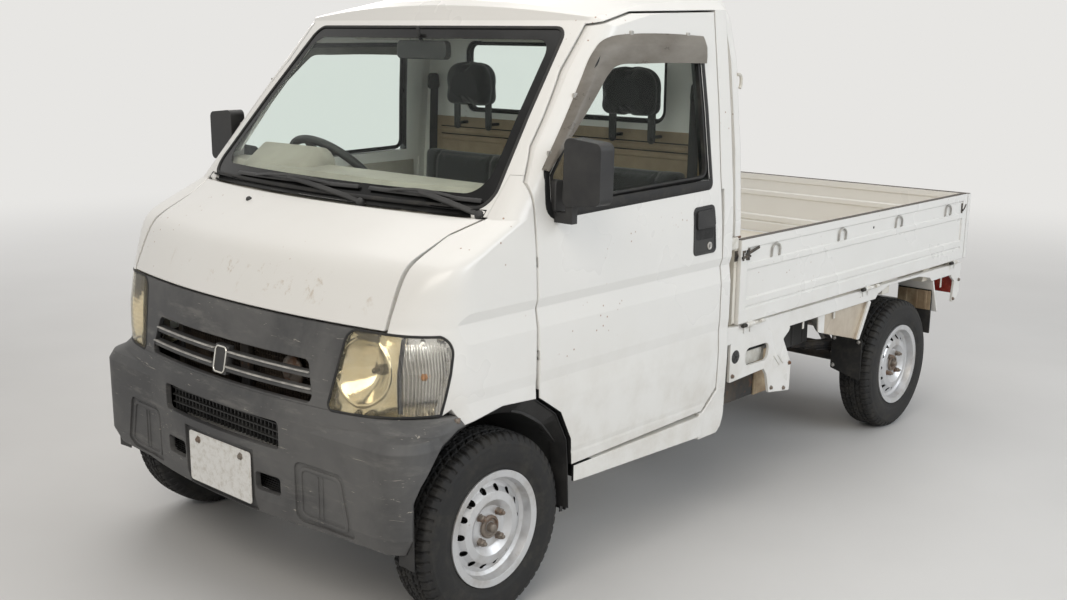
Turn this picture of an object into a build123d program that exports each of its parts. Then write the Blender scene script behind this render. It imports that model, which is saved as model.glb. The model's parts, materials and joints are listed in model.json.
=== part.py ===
"""A small cab-over pickup truck with a drop-side bed, in millimetres.

+X is the truck's left, +Y runs to the rear and +Z is up. The origin lies on the ground, at the
middle of the truck's length and width. The front faces -Y.
"""

from build123d import *
from bisect import bisect_right
from functools import cache
import math
import os

os.makedirs("parts", exist_ok=True)

# Overall sizes
LENGTH = 3395.0
WIDTH = 1475.0
HEIGHT = 1780.0
WHEELBASE = 2420.0
TRACK = 1290.0
FRONT_OVERHANG = 413.5

FRONT = -LENGTH / 2
REAR = LENGTH / 2
HALF = WIDTH / 2
FRONT_AXLE = FRONT + FRONT_OVERHANG
REAR_AXLE = FRONT_AXLE + WHEELBASE

# Wheels
TYRE_R = 270.0
TYRE_WIDTH = 146.0
RIM_R = 152.0
RIM_FLANGE_R = 166.0
RIM_HOLES = 14
STUB_R = 16.0
RUNNING_FIT = 0.05
WHEEL_X = TRACK / 2
WHEEL_Z = TYRE_R

# Gaps
SHUT_GAP = 6.0
SEAT_GAP = 0.3
PANEL_GAP = 2.0

# Cab walls
WALL = 25.0
DOOR_WALL = 38.0
GLASS = 5.0
GLASS_SINK = 4.0
CAB_BACK = -205.0
ROOF_EDGE_X = 640.0
LEAST_CORNER = 12.0

# Heights of the joint lines on the cab
SILL_LOW = 300.0
FLOOR_TOP = 420.0
FLOOR_WALL = 30.0
BUMPER_TOP = 634.0
LAMP_TOP = 853.0
COWL = 1118.0
GLASS_LOW = 1138.0
PILLAR_JOINT = 1230.0

# Wheel arches
LINER_R = 330.0
LINER_OUT = HALF - 51
LINER_IN = 400.0
LINER_WALL = 6.0

# Plan sections of the cab: height, setback of the nose from the front end, half width,
# radius of the bowed nose and radius of its corners.
CAB_SECTIONS = [
    (SILL_LOW, 20, HALF - 9, 2600, 265),
    (560, 14, HALF, 2600, 265),
    (BUMPER_TOP, 14, HALF, 2600, 265),
    (690, 25, HALF, 2700, 225),
    (750, 37, HALF, 2800, 190),
    (857, 60, HALF, 3000, 190),
]

# Sections of the hood's rounded bend, with the same columns, lofted as one smooth surface
HOOD_STEPS = 14
HOOD_SECTIONS = [
    (857, 60, HALF, 3000, 190),
    (925, 92, HALF, 3100, 150),
    (975, 118, HALF, 3200, 115),
    (1000, 134, HALF - 0.3, 3200, 100),
    (1015, 149, HALF - 0.7, 3200, 90),
    (1030, 172, HALF - 1, 3200, 80),
    (1060, 232, HALF - 2.5, 3050, 70),
    (1120, 357, HALF - 6, 2820, 70),
]
SCREEN_SECTIONS = [
    (1120, 357, HALF - 6, 2820, 70),
    (1380, 597, HALF - 29, 3800, 90),
    (1640, 837, HALF - 59, 4800, 80),
    (HEIGHT + 30, 900, HALF - 75, 4800, 80),
]

# Creases pressed along the cab's sides: top, valley, foot and depth
SIDE_CREASES = [
    (900, 873, 817, 8),
    (692, 661, 600, 3),
    (470, 424, 378, 6),
]

# Cross sections of the roof: distance ahead of the cab's back, height at the middle and height
# at the drip edge.
ROOF_SECTIONS = [
    (1600, 1630, 1575),
    (702, 1655, 1604),
    (600, 1705, 1652),
    (400, 1748, 1690),
    (200, 1770, 1706),
    (0, HEIGHT - 2, 1712),
]

# Plan sections of the bumper, with the same columns as the cab's.
BUMPER_SECTIONS = [
    (285, 16, HALF - 12, 2600, 130),
    (330, 4, HALF - 4, 2600, 130),
    (560, 0, HALF, 2600, 140),
    (598, 4, HALF, 2600, 150),
    (BUMPER_TOP, 14, HALF, 2600, 265),
]
POD_SECTIONS = [
    (288, 40, HALF - 22, 8000, 90),
    (335, 20, HALF - 3, 8000, 100),
    (565, 20, HALF, 8000, 100),
    (590, 30, HALF - 5, 7000, 105),
    (612, 62, HALF - 28, 5000, 150),
]
BUMPER_WALL = 18.0

# Edge of the front wheel's arch, as distance from the axle and height
ARCH_OUTLINE = [
    (-314, 100),
    (-314, 434),
    (-295, 477),
    (-226, 568),
    (-168, 601),
    (0, 628),
    (148, 618),
    (220, 600),
    (220, 100),
]
ARCH_ROUND = 25.0

# Door outline in side view, as distance from the front axle and height, going round from the
# foot of the front shut line.
DOOR_FRONT = FRONT_AXLE + 134
DOOR_REAR = CAB_BACK - 57
DOOR_OUTLINE = [
    (DOOR_FRONT + 14, 618),
    (DOOR_FRONT, 972),
    (DOOR_FRONT - 10, 1212),
    (DOOR_FRONT + 50, 1300),
    (DOOR_FRONT + 215, 1500),
    (DOOR_FRONT + 325, 1625),
    (DOOR_FRONT + 480, 1662),
    (DOOR_REAR - 10, 1674),
    (DOOR_REAR - 14, 1160),
    (DOOR_REAR, 900),
    (DOOR_REAR, 466),
    (DOOR_REAR - 75, 400),
    (DOOR_FRONT + 160, 386),
    (DOOR_FRONT + 153, 465),
    (DOOR_FRONT + 104, 557),
]
WINDOW_OUTLINE = [
    (DOOR_FRONT + 60, 1140),
    (DOOR_FRONT + 60, 1230),
    (DOOR_FRONT + 250, 1450),
    (DOOR_FRONT + 350, 1562),
    (DOOR_REAR - 100, 1566),
    (DOOR_REAR - 78, 1160),
]

# Door hinges: a tilted axis just under the skin, in line with the front shut line
HINGE_X = HALF - 8
HINGE_EDGE_R = 8.0
HINGE_SLOPE = 14 / 354
HINGE_Z = (740.0, 1000.0)
HINGE_PIN_R = 3.0

# Hood
HOOD_HALF = 597.0
HOOD_REAR_HALF = 640.0
HOOD_EDGE_WALL = 10.0
HOOD_PIVOT_Y = FRONT + 439
HOOD_PIVOT_Z = COWL + 7
HOOD_PIN_R = 4.0
HOOD_LUG_R = 10.0
HOOD_LUG_X = 600.0
COWL_SINK = 19.0

# Bed
DECK_TOP = 655.0
DECK_WALL = 12.0
GATE_TOP = 944.0
GATE_WALL = 28.0
GATE_GAP = 3.0
GATE_FRONT = -144.0
GATE_PRESSINGS = [(916, 859, 5), (841, 738, 6), (716, 704, 4)]
GATE_PLAIN_END = 40.0
GATE_HINGE_R = 5.0
GATE_HINGE_Y = (-72.0, 773.0, 1575.0)
TAIL_HINGE_X = (-560.0, 0.0, 560.0)
GATE_OUT = HALF - 2
GATE_AXIS_OUT = 1.0
GATE_AXIS_Z = 649.0
KNUCKLE_R = 8.0
TAIL_OUT = REAR - KNUCKLE_R - GATE_AXIS_OUT
KNUCKLE_LONG = 28.0
RAIL_LOW = 592.0
RAIL_IN = 705.0
RAIL_OUT = 725.0

# Frame
FRAME_X = 330.0
FRAME_WIDTH = 50.0
FRAME_LOW = 300.0
FRAME_DEPTH = 90.0
FRAME_KICK = 120.0
BEAM_Y = (-110.0, 250.0, 620.0, 990.0, 1360.0, 1590.0)
BEAM_LOW = FRAME_LOW + FRAME_DEPTH + FRAME_KICK
TOW_EYE_Y = -1480.0
TOW_EYE_R = 11.0
SPRING_X = 480.0
SPRING_FRONT = REAR_AXLE - 520
SPRING_REAR = REAR_AXLE + 500

# Steering
KINGPIN_TILT = 11.0
KINGPIN_X = 585.0
KINGPIN_Z = 200.0
WHEEL_RIM_R = 185.0
WHEEL_TUBE_R = 14.0
STEER_X = -345.0
STEER_Y = FRONT_AXLE + 330
STEER_Z = 1120.0
STEER_TILT = 48.0


def plan_outline(nose, half, bow, corner, back):
    """The line of a plan section: a bowed nose, round corners, straight sides and a flat back."""
    turn = math.asin((half - corner) / (bow - corner))
    corner_y = nose + bow - (bow - corner) * math.cos(turn)
    bow_end = (bow * math.sin(turn), nose + bow - bow * math.cos(turn))
    middle = (turn - math.pi / 2) / 2
    corner_mid = (half - corner + corner * math.cos(middle), corner_y + corner * math.sin(middle))
    with BuildLine() as outline:
        Line((-half, back), (half, back))
        Line((half, back), (half, corner_y))
        ThreePointArc((half, corner_y), corner_mid, bow_end)
        ThreePointArc(bow_end, (0, nose), (-bow_end[0], bow_end[1]))
        ThreePointArc((-bow_end[0], bow_end[1]), (-corner_mid[0], corner_mid[1]), (-half, corner_y))
        Line((-half, corner_y), (-half, back))
    return outline.line


def smoothed(sections, steps):
    """Sections at even steps along the nose, on smooth curves through the given ones."""
    travel = [0.0]
    for before, after in zip(sections, sections[1:]):
        travel.append(travel[-1] + math.dist(before[:2], after[:2]))
    gaps = [after - before for before, after in zip(travel, travel[1:])]
    slopes = []
    for values in zip(*sections):
        rises = [(after - before) / gap for before, after, gap in zip(values, values[1:], gaps)]
        inner = [2 * a * b / (a + b) if a * b > 0 else 0.0 for a, b in zip(rises, rises[1:])]
        slopes.append([rises[0], *inner, rises[-1]])
    even = []
    for step in range(steps + 1):
        along = travel[-1] * step / steps
        i = min(bisect_right(travel, along), len(gaps)) - 1
        t = (along - travel[i]) / gaps[i]
        row = []
        for values, slope in zip(zip(*sections), slopes):
            start = values[i] * (1 + 2 * t) * (1 - t) ** 2 + slope[i] * gaps[i] * t * (1 - t) ** 2
            end = values[i + 1] * t * t * (3 - 2 * t) + slope[i + 1] * gaps[i] * t * t * (t - 1)
            row.append(start + end)
        even.append(tuple(row))
    return even


def plan_loft(sections, inset, back, smooth=False):
    """Loft plan sections, all drawn in by inset."""
    with BuildPart() as form:
        for height, setback, half, bow, corner in sections:
            corner = max(corner - inset, LEAST_CORNER)
            outline = plan_outline(FRONT + setback + inset, half - inset, bow - inset, corner, back)
            with BuildSketch(Plane.XY.offset(height)):
                make_face(outline.edges())
        loft(ruled=not smooth)
    return form.part


def roof_crown(drop):
    """The space below the crowned roof, lowered by drop."""
    with BuildPart() as crown:
        for ahead, middle, edge in ROOF_SECTIONS:
            with BuildSketch(Plane.XZ.offset(ahead - CAB_BACK)):
                shoulder = (HALF + 30, edge - drop - 110)
                with BuildLine():
                    Polyline((-shoulder[0], shoulder[1]), (-shoulder[0], 0), (shoulder[0], 0), shoulder)
                    Line(shoulder, (ROOF_EDGE_X, edge - drop))
                    ThreePointArc((ROOF_EDGE_X, edge - drop), (0, middle - drop), (-ROOF_EDGE_X, edge - drop))
                    Line((-ROOF_EDGE_X, edge - drop), (-shoulder[0], shoulder[1]))
                make_face()
        loft(ruled=True)
    return crown.part


@cache
def cab_form(inset):
    """The cab's outer form, drawn in by inset on every side but the bottom."""
    side_x = HALF - inset
    with BuildPart() as form:
        add(plan_loft(CAB_SECTIONS, inset, CAB_BACK - inset))
        add(plan_loft(smoothed(HOOD_SECTIONS, HOOD_STEPS), inset, CAB_BACK - inset, smooth=True))
        add(plan_loft(SCREEN_SECTIONS, inset, CAB_BACK - inset))
        add(roof_crown(inset), mode=Mode.INTERSECT)
        for top, valley, foot, depth in SIDE_CREASES:
            for side in (-1, 1):
                deep = side_x - depth
                clear = side_x + depth + 1
                crease = [(side_x, top), (deep, valley), (side_x, foot), (clear, foot), (clear, top)]
                add(prism_y([(side * x, z) for x, z in crease], FRONT, 0), mode=Mode.SUBTRACT)
    return form.part


@cache
def bumper_form(inset):
    """The bumper's outer form, drawn in by inset: a bowed middle between two fuller corners."""
    with BuildPart() as form:
        add(plan_loft(BUMPER_SECTIONS, inset, FRONT_AXLE))
        add(plan_loft(POD_SECTIONS, inset, FRONT_AXLE))
    return form.part


@cache
def cab_skin(outside, inside):
    """The layer of the cab between two depths below its outer form."""
    with BuildPart() as skin:
        add(cab_form(outside))
        add(cab_form(inside), mode=Mode.SUBTRACT)
    return skin.part


def rounded(sketch, outline, rounding):
    """Round the corners of an outline's sketch, by one radius or by one for each point."""
    if isinstance(rounding, (int, float)):
        if rounding:
            fillet(sketch.vertices(), rounding)
        return
    for point, radius in zip(outline, rounding):
        if radius:
            fillet(sketch.vertices().sort_by_distance((*point, 0))[0], radius)


def prism_x(outline, low, high, rounding=0):
    """A side-view outline of (y, z) points, extruded across the truck."""
    with BuildPart() as prism:
        with BuildSketch(Plane.YZ.offset(low)) as sketch:
            with BuildLine():
                Polyline(*outline, close=True)
            make_face()
            rounded(sketch, outline, rounding)
        extrude(amount=high - low)
    return prism.part


def prism_y(outline, low, high, rounding=0):
    """A front-view outline of (x, z) points, extruded along the truck."""
    with BuildPart() as prism:
        with BuildSketch(Plane.XZ.offset(-low)) as sketch:
            with BuildLine():
                Polyline(*outline, close=True)
            make_face()
            rounded(sketch, outline, rounding)
        extrude(amount=low - high)
    return prism.part


def block(x, y, z):
    """A box between the two ends given for each axis."""
    with BuildPart() as box:
        with Locations(((x[0] + x[1]) / 2, (y[0] + y[1]) / 2, (z[0] + z[1]) / 2)):
            Box(x[1] - x[0], y[1] - y[0], z[1] - z[0])
    return box.part


def cylinder_x(x, y, z, radius):
    """A round bar across the truck, from x[0] to x[1]."""
    with BuildPart() as bar:
        with BuildSketch(Plane.YZ.offset(x[0])):
            with Locations((y, z)):
                Circle(radius)
        extrude(amount=x[1] - x[0])
    return bar.part


def cylinder_y(x, y, z, radius):
    """A round bar along the truck, from y[0] to y[1]."""
    with BuildPart() as bar:
        with BuildSketch(Plane.XZ.offset(-y[0])):
            with Locations((x, z)):
                Circle(radius)
        extrude(amount=y[0] - y[1])
    return bar.part


def hinge_plane(side, height):
    """The plane across a door's hinge axis at the given height."""
    place = (side * HINGE_X, DOOR_FRONT + HINGE_EDGE_R + (972 - height) * HINGE_SLOPE, height)
    return Plane(origin=place, x_dir=(1, 0, 0), z_dir=(0, -HINGE_SLOPE, 1))


def kingpin_plane(side):
    """The plane across a front wheel's inclined steering axis."""
    lean = math.radians(KINGPIN_TILT)
    foot = (side * KINGPIN_X, FRONT_AXLE, KINGPIN_Z)
    across = (math.cos(lean), 0, side * math.sin(lean))
    return Plane(origin=foot, x_dir=across, z_dir=(-side * math.sin(lean), 0, math.cos(lean)))


def grown(outline, amount):
    """The outline moved outwards by amount, for gaps and openings, its points in the same order."""
    if not amount:
        return outline
    with BuildSketch() as sketch:
        with BuildLine():
            Polyline(*outline, close=True)
        make_face()
        offset(amount=amount, kind=Kind.INTERSECTION)
    corners = [(vertex.X, vertex.Y) for vertex in sketch.vertices()]
    return [min(corners, key=lambda corner: math.dist(corner, point)) for point in outline]


def write(solid, name):
    """Label a finished piece and write it."""
    solid.label = name
    export_step(solid, f"parts/{name}.step")


def pressings():
    """Outlines of the long recesses pressed into both faces of a gate, as distance out and height."""
    outlines = []
    for top, foot, depth in GATE_PRESSINGS:
        for face, inward in ((GATE_OUT, -1), (GATE_OUT - GATE_WALL, 1)):
            deep = face + inward * depth
            proud = face - inward
            outlines.append([(proud, top + 1), (deep, top - depth), (deep, foot + depth), (proud, foot - 1)])
    return outlines


def lamp_space(gap):
    """The room of both headlamps, grown by gap."""
    front = grown(LAMP_FRONT_VIEW, gap)
    outside = grown(LAMP_SIDE_VIEW, gap)
    with BuildPart() as space:
        for side in (-1, 1):
            with BuildPart(mode=Mode.PRIVATE) as lamp:
                add(prism_y([(side * x, z) for x, z in front], FRONT - 60, LAMP_BACK + 30, LAMP_FRONT_ROUND))
                ends = sorted((side * 400, side * 800))
                add(prism_x(outside, *ends, LAMP_SIDE_ROUND), mode=Mode.INTERSECT)
            add(lamp.part)
    return space.part


def wheel_arches(low, high):
    """The spaces inside the edges of both front wheel arches."""
    outline = [(FRONT_AXLE + along, height) for along, height in ARCH_OUTLINE]
    with BuildPart() as arches:
        for side in (-1, 1):
            ends = sorted((side * low, side * high))
            add(prism_x(outline, *ends, ARCH_ROUND))
    return arches.part


def wheel_wells(radius, low, high):
    """Cylinders round both front wheels, for arches and liners."""
    with BuildPart() as wells:
        for side in (-1, 1):
            ends = sorted((side * low, side * high))
            add(cylinder_x(ends, FRONT_AXLE, WHEEL_Z, radius))
    return wells.part


# Cab panels
HOOD_OUTLINE = [
    (-HOOD_HALF, LAMP_TOP + 7),
    (HOOD_HALF, LAMP_TOP + 7),
    (HOOD_HALF - 5, 1025),
    (HOOD_HALF + 6, 1084),
    (HOOD_REAR_HALF, COWL),
    (-HOOD_REAR_HALF, COWL),
    (-HOOD_HALF - 6, 1084),
    (-HOOD_HALF + 5, 1025),
]
WINDSCREEN_OUTLINE = [(-650, GLASS_LOW), (650, GLASS_LOW), (566, 1622), (-566, 1622)]
REAR_WINDOW_OUTLINE = [(-470, 1312), (470, 1312), (470, 1575), (-470, 1575)]
LAMP_FRONT_VIEW = [
    (443, BUMPER_TOP + SEAT_GAP),
    (HALF + 20, BUMPER_TOP + 8),
    (HALF + 20, LAMP_TOP - 5),
    (610, LAMP_TOP),
    (483, LAMP_TOP),
]
LAMP_FRONT_ROUND = (18, 0, 0, 0, 45)
LAMP_BACK = FRONT + 236
LAMP_SIDE_VIEW = [
    (FRONT - 50, BUMPER_TOP - 30),
    (LAMP_BACK - 27, BUMPER_TOP - 30),
    (LAMP_BACK - 26, BUMPER_TOP + 6),
    (LAMP_BACK + 11, LAMP_TOP + 1),
    (FRONT - 50, LAMP_TOP + 1),
]
LAMP_SIDE_ROUND = (0, 0, 26, 50, 0)
LAMP_DEPTH = 110.0
LAMP_GAP = 1.0
CORNER_ROUND = 45.0
wall = cab_skin(0, WALL)

with BuildPart() as cab_shell:
    add(wall)
    add(block((-800, 800), (FRONT - 50, DOOR_REAR + SHUT_GAP), (0, COWL + SHUT_GAP)), mode=Mode.SUBTRACT)
    add(block((-690, 690), (FRONT, 0), (0, FLOOR_TOP - FLOOR_WALL)), mode=Mode.SUBTRACT)
    rear_foot = [(-400, 0), (-400, 336), (CAB_BACK - 18, 336), (CAB_BACK + 10, 372), (0, 372), (0, 0)]
    add(prism_x(rear_foot, -800, 800), mode=Mode.SUBTRACT)
    for side in (-1, 1):
        ends = sorted((side * 600, side * 900))
        add(prism_x(grown(DOOR_OUTLINE, SHUT_GAP), *ends), mode=Mode.SUBTRACT)
        ends = sorted((side * 650, side * 900))
        add(block(ends, (FRONT, DOOR_FRONT), (0, PILLAR_JOINT)), mode=Mode.SUBTRACT)
    add(prism_y(grown(WINDSCREEN_OUTLINE, SEAT_GAP), FRONT, -700, CORNER_ROUND), mode=Mode.SUBTRACT)
    add(prism_y(grown(REAR_WINDOW_OUTLINE, SEAT_GAP), -400, 0, CORNER_ROUND), mode=Mode.SUBTRACT)
    with BuildPart(mode=Mode.PRIVATE) as cowl_channel:
        add(cab_skin(0, COWL_SINK))
        add(block((-HOOD_LUG_X, HOOD_LUG_X), (FRONT, -1000), (COWL, GLASS_LOW + 2)), mode=Mode.INTERSECT)
    add(cowl_channel.part, mode=Mode.SUBTRACT)
    for side in (-1, 1):
        ends = sorted((side * (HOOD_LUG_X - 6), side * (HOOD_LUG_X + 26)))
        add(cylinder_x(ends, HOOD_PIVOT_Y, HOOD_PIVOT_Z, HOOD_LUG_R + 6), mode=Mode.SUBTRACT)
        ends = sorted((side * (HOOD_LUG_X - 8), side * (HOOD_LUG_X + 28)))
        add(cylinder_x(ends, HOOD_PIVOT_Y, HOOD_PIVOT_Z, HOOD_PIN_R))
write(cab_shell.part, "cab_shell")

with BuildPart() as fenders:
    add(wall)
    add(block((-800, 800), (FRONT - 50, DOOR_FRONT - PANEL_GAP), (BUMPER_TOP - 60, PILLAR_JOINT - SEAT_GAP)),
        mode=Mode.INTERSECT)
    add(block((-650.5, 650.5), (FRONT, 0), (COWL, 2000)), mode=Mode.SUBTRACT)
    add(prism_y(grown(HOOD_OUTLINE, SHUT_GAP), FRONT - 50, 0), mode=Mode.SUBTRACT)
    add(lamp_space(PANEL_GAP), mode=Mode.SUBTRACT)
    add(block((-560, 560), (FRONT - 50, LAMP_BACK), (0, LAMP_TOP + PANEL_GAP)), mode=Mode.SUBTRACT)
    add(block((-800, 800), (FRONT - 50, LAMP_BACK - 24), (0, BUMPER_TOP + 10)), mode=Mode.SUBTRACT)
    add(block((-HOOD_HALF - 10, HOOD_HALF + 10), (FRONT - 50, 0), (0, 1100)), mode=Mode.SUBTRACT)
    for side in (-1, 1):
        ends = sorted((side * 500, side * 900))
        add(prism_x(grown(DOOR_OUTLINE, SHUT_GAP), *ends), mode=Mode.SUBTRACT)
        add(prism_x([(FRONT, 500), (LAMP_BACK, 655), (LAMP_BACK + 40, 601), (LAMP_BACK + 40, 500)], *ends),
            mode=Mode.SUBTRACT)
    add(wheel_arches(500, 900), mode=Mode.SUBTRACT)
    for side in (-1, 1):
        for height in HINGE_Z:
            hinge = hinge_plane(side, height)
            with Locations(hinge):
                Cylinder(HINGE_PIN_R, 40)
                with Locations((-side * 11, 0, 0)):
                    Box(20, 6, 16)
                with Locations((-side * 18, -14, 0)):
                    Box(8, 34, 16)
write(fenders.part, "fenders")

with BuildPart() as hood:
    add(wall)
    add(prism_y(HOOD_OUTLINE, FRONT - 50, FRONT_AXLE + 200), mode=Mode.INTERSECT)
    with BuildPart(mode=Mode.PRIVATE) as thin_edge:
        add(cab_form(HOOD_EDGE_WALL))
        between = (-HOOD_LUG_X + 10, HOOD_LUG_X - 10)
        add(block(between, (FRONT, -1100), (COWL - 30, COWL + 1)), mode=Mode.INTERSECT)
    add(thin_edge.part, mode=Mode.SUBTRACT)
    for side in (-1, 1):
        ends = sorted((side * HOOD_LUG_X, side * (HOOD_LUG_X + 20)))
        add(cylinder_x(ends, HOOD_PIVOT_Y, HOOD_PIVOT_Z, HOOD_LUG_R))
        add(cylinder_x(ends, HOOD_PIVOT_Y, HOOD_PIVOT_Z, HOOD_PIN_R + RUNNING_FIT), mode=Mode.SUBTRACT)
write(hood.part, "hood")

with BuildPart() as headlamps:
    add(cab_skin(0, LAMP_DEPTH))
    add(lamp_space(0), mode=Mode.INTERSECT)
write(headlamps.part, "headlamps")

# Grille panel between the lamps, with an open slot crossed by two bars and a plain boss
GRILLE_WALL = 16.0
GRILLE_OUTLINE = [
    (480, BUMPER_TOP + SEAT_GAP),
    (550, LAMP_TOP),
    (-550, LAMP_TOP),
    (-480, BUMPER_TOP + SEAT_GAP),
]
GRILLE_SLOT = [(394, 640), (362, 753), (-362, 753), (-394, 640)]
GRILLE_BARS = (672, 714)
BOSS = (62, 80)
BOSS_Z = 693.0

with BuildPart() as front_grille:
    add(cab_skin(0, GRILLE_WALL))
    add(prism_y(GRILLE_OUTLINE, FRONT - 50, FRONT + 200), mode=Mode.INTERSECT)
    add(lamp_space(LAMP_GAP), mode=Mode.SUBTRACT)
    add(prism_y(GRILLE_SLOT, FRONT - 50, FRONT + 200, 20), mode=Mode.SUBTRACT)
    with BuildPart(mode=Mode.PRIVATE) as bars:
        for height in GRILLE_BARS:
            add(block((-400, 400), (FRONT, FRONT + 200), (height - 8, height + 8)))
        boss_high = (BOSS_Z - BOSS[1] / 2, BOSS_Z + BOSS[1] / 2)
        add(block((-BOSS[0] / 2, BOSS[0] / 2), (FRONT, FRONT + 200), boss_high))
        add(cab_form(2), mode=Mode.INTERSECT)
        add(cab_form(GRILLE_WALL + 6), mode=Mode.SUBTRACT)
    add(bars.part)
write(front_grille.part, "front_grille")

# Bumper with two open slots, a bar between them and a pocket for each fog lamp
PLATE_Z = 379.0
PLATE_SIZE = (305.0, 152.0)
PLATE_SINK = 10.0
POCKET_DEPTH = 6.0
with BuildPart() as front_bumper:
    add(bumper_form(0))
    add(bumper_form(BUMPER_WALL), mode=Mode.SUBTRACT)
    add(block((-800, 800), (LAMP_BACK + 38, 0), (0, 800)), mode=Mode.SUBTRACT)
    end_cut = [(LAMP_BACK, 655), (LAMP_BACK + 40, 601), (LAMP_BACK + 40, 800)]
    for side in (-1, 1):
        ends = sorted((side * 500, side * 900))
        add(prism_x(end_cut, *ends), mode=Mode.SUBTRACT)
    add(wheel_arches(LINER_IN, 900), mode=Mode.SUBTRACT)
    upper_slot = [(-278, 492), (278, 492), (278, 572), (-278, 572)]
    add(prism_y(upper_slot, FRONT - 50, FRONT + 200, 14), mode=Mode.SUBTRACT)
    for side in (-1, 1):
        lower_slot = [(side * 175, 358), (side * 278, 358), (side * 278, 410), (side * 175, 410)]
        add(prism_y(lower_slot, FRONT - 50, FRONT + 200, 12), mode=Mode.SUBTRACT)
    with BuildPart(mode=Mode.PRIVATE) as pockets:
        for side in (-1, 1):
            pocket = [(side * 334, 300), (side * 560, 300), (side * 520, 474), (side * 334, 474)]
            add(prism_y(pocket, FRONT - 50, FRONT + 200, 22))
        add(bumper_form(POCKET_DEPTH), mode=Mode.SUBTRACT)
    add(pockets.part, mode=Mode.SUBTRACT)
    with BuildPart(mode=Mode.PRIVATE) as plate_recess:
        add(block((-170, 170), (FRONT - 50, FRONT + 50), (PLATE_Z - 92, PLATE_Z + 90)))
        add(bumper_form(PLATE_SINK), mode=Mode.SUBTRACT)
    add(plate_recess.part, mode=Mode.SUBTRACT)
write(front_bumper.part, "front_bumper")

with BuildPart() as number_plate:
    with BuildSketch(Plane.XZ.offset(-(FRONT + PLATE_SINK + 1.5))):
        with Locations((0, PLATE_Z)):
            RectangleRounded(*PLATE_SIZE, 10)
    extrude(amount=2)
write(number_plate.part, "number_plate")

with BuildPart() as windscreen:
    add(cab_skin(GLASS_SINK, GLASS_SINK + GLASS))
    add(prism_y(WINDSCREEN_OUTLINE, FRONT, -700, CORNER_ROUND), mode=Mode.INTERSECT)
write(windscreen.part, "windscreen")

with BuildPart() as rear_window:
    add(prism_y(REAR_WINDOW_OUTLINE, CAB_BACK - WALL + 8, CAB_BACK - WALL + 8 + GLASS, CORNER_ROUND))
write(rear_window.part, "rear_window")

# Doors, each with its glass and mirror
door_wall = cab_skin(0, DOOR_WALL)
door_glass = cab_skin(14, 14 + GLASS)
MIRROR = [(763, 1146), (892, 1160), (894, 1322), (768, 1334)]
MIRROR_Y = DOOR_FRONT + 100
for side, name in ((1, "left"), (-1, "right")):
    ends = sorted((side * 600, side * 900))
    with BuildPart() as door:
        add(door_wall)
        add(prism_x(DOOR_OUTLINE, *ends), mode=Mode.INTERSECT)
        add(prism_x(grown(WINDOW_OUTLINE, SEAT_GAP), *ends), mode=Mode.SUBTRACT)
        with BuildPart(hinge_plane(side, 900), mode=Mode.PRIVATE) as edge_round:
            with Locations((side * 25, -25, 0)):
                Box(50, 50, 700)
            Cylinder(HINGE_EDGE_R, 720, mode=Mode.SUBTRACT)
        add(edge_round.part, mode=Mode.SUBTRACT)
        for height in HINGE_Z:
            with Locations(hinge_plane(side, height)):
                with Locations((-side * 17.5, -1, 0)):
                    Box(45, 18, 28, mode=Mode.SUBTRACT)
                Cylinder(HINGE_PIN_R + RUNNING_FIT, 42, mode=Mode.SUBTRACT)
    write(door.part, f"door_{name}")
    with BuildPart() as glass:
        add(door_glass)
        add(prism_x(WINDOW_OUTLINE, *ends), mode=Mode.INTERSECT)
    write(glass.part, f"door_glass_{name}")
    with BuildPart() as mirror:
        add(prism_y([(side * x, z) for x, z in MIRROR], MIRROR_Y - 36, MIRROR_Y + 20, 20))
        stalk = sorted((side * (HALF - 30), side * (HALF + 58)))
        add(block(stalk, (MIRROR_Y - 32, MIRROR_Y - 10), (1102, 1130)))
        stalk = sorted((side * (HALF + 34), side * (HALF + 58)))
        add(block(stalk, (MIRROR_Y - 32, MIRROR_Y - 10), (1102, 1160)))
        add(cab_form(0), mode=Mode.SUBTRACT)
    write(mirror.part, f"door_mirror_{name}")

# Floor, sills, seat riser and firewall in one pressing
FLOOR_HALF = HALF - DOOR_WALL - 15
SILL_FRONT = FRONT_AXLE + LINER_R + 4
FIREWALL_BEND = (-1500, 815)
FIREWALL_TOP = (-1335, 1070)
with BuildPart() as cab_floor:
    add(block((-FLOOR_HALF, FLOOR_HALF), (FRONT + 160, CAB_BACK - WALL), (FLOOR_TOP - FLOOR_WALL, FLOOR_TOP)))
    add(wheel_wells(LINER_R + SEAT_GAP, LINER_IN - SEAT_GAP, 900), mode=Mode.SUBTRACT)
    riser = [(-640, FLOOR_TOP), (-600, 640), (CAB_BACK - WALL, 640), (CAB_BACK - WALL, FLOOR_TOP)]
    add(prism_x(riser, -HALF + 60, HALF - 60))
    for side in (-1, 1):
        ends = sorted((side * (HALF - 70), side * (HALF - 4)))
        add(prism_x([(SILL_FRONT, 330), (-330, 312), (-330, 384), (SILL_FRONT, 380)], *ends))
        ends = sorted((side * (HALF - 12), side * (HALF - 4)))
        add(prism_x([(-982, 332), (-900, 329), (-900, 381), (-982, 380)], *ends))
        ends = sorted((side * (FLOOR_HALF - 10), side * FLOOR_HALF))
        add(block(ends, (SILL_FRONT, -330), (370, FLOOR_TOP)))
    firewall = [(-1520, FLOOR_TOP - 20), (-1500, FLOOR_TOP - 20), FIREWALL_BEND, FIREWALL_TOP, (-1352, 1080),
                (-1520, 825)]
    add(prism_x(firewall, -390, 390))
write(cab_floor.part, "cab_floor")

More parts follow.
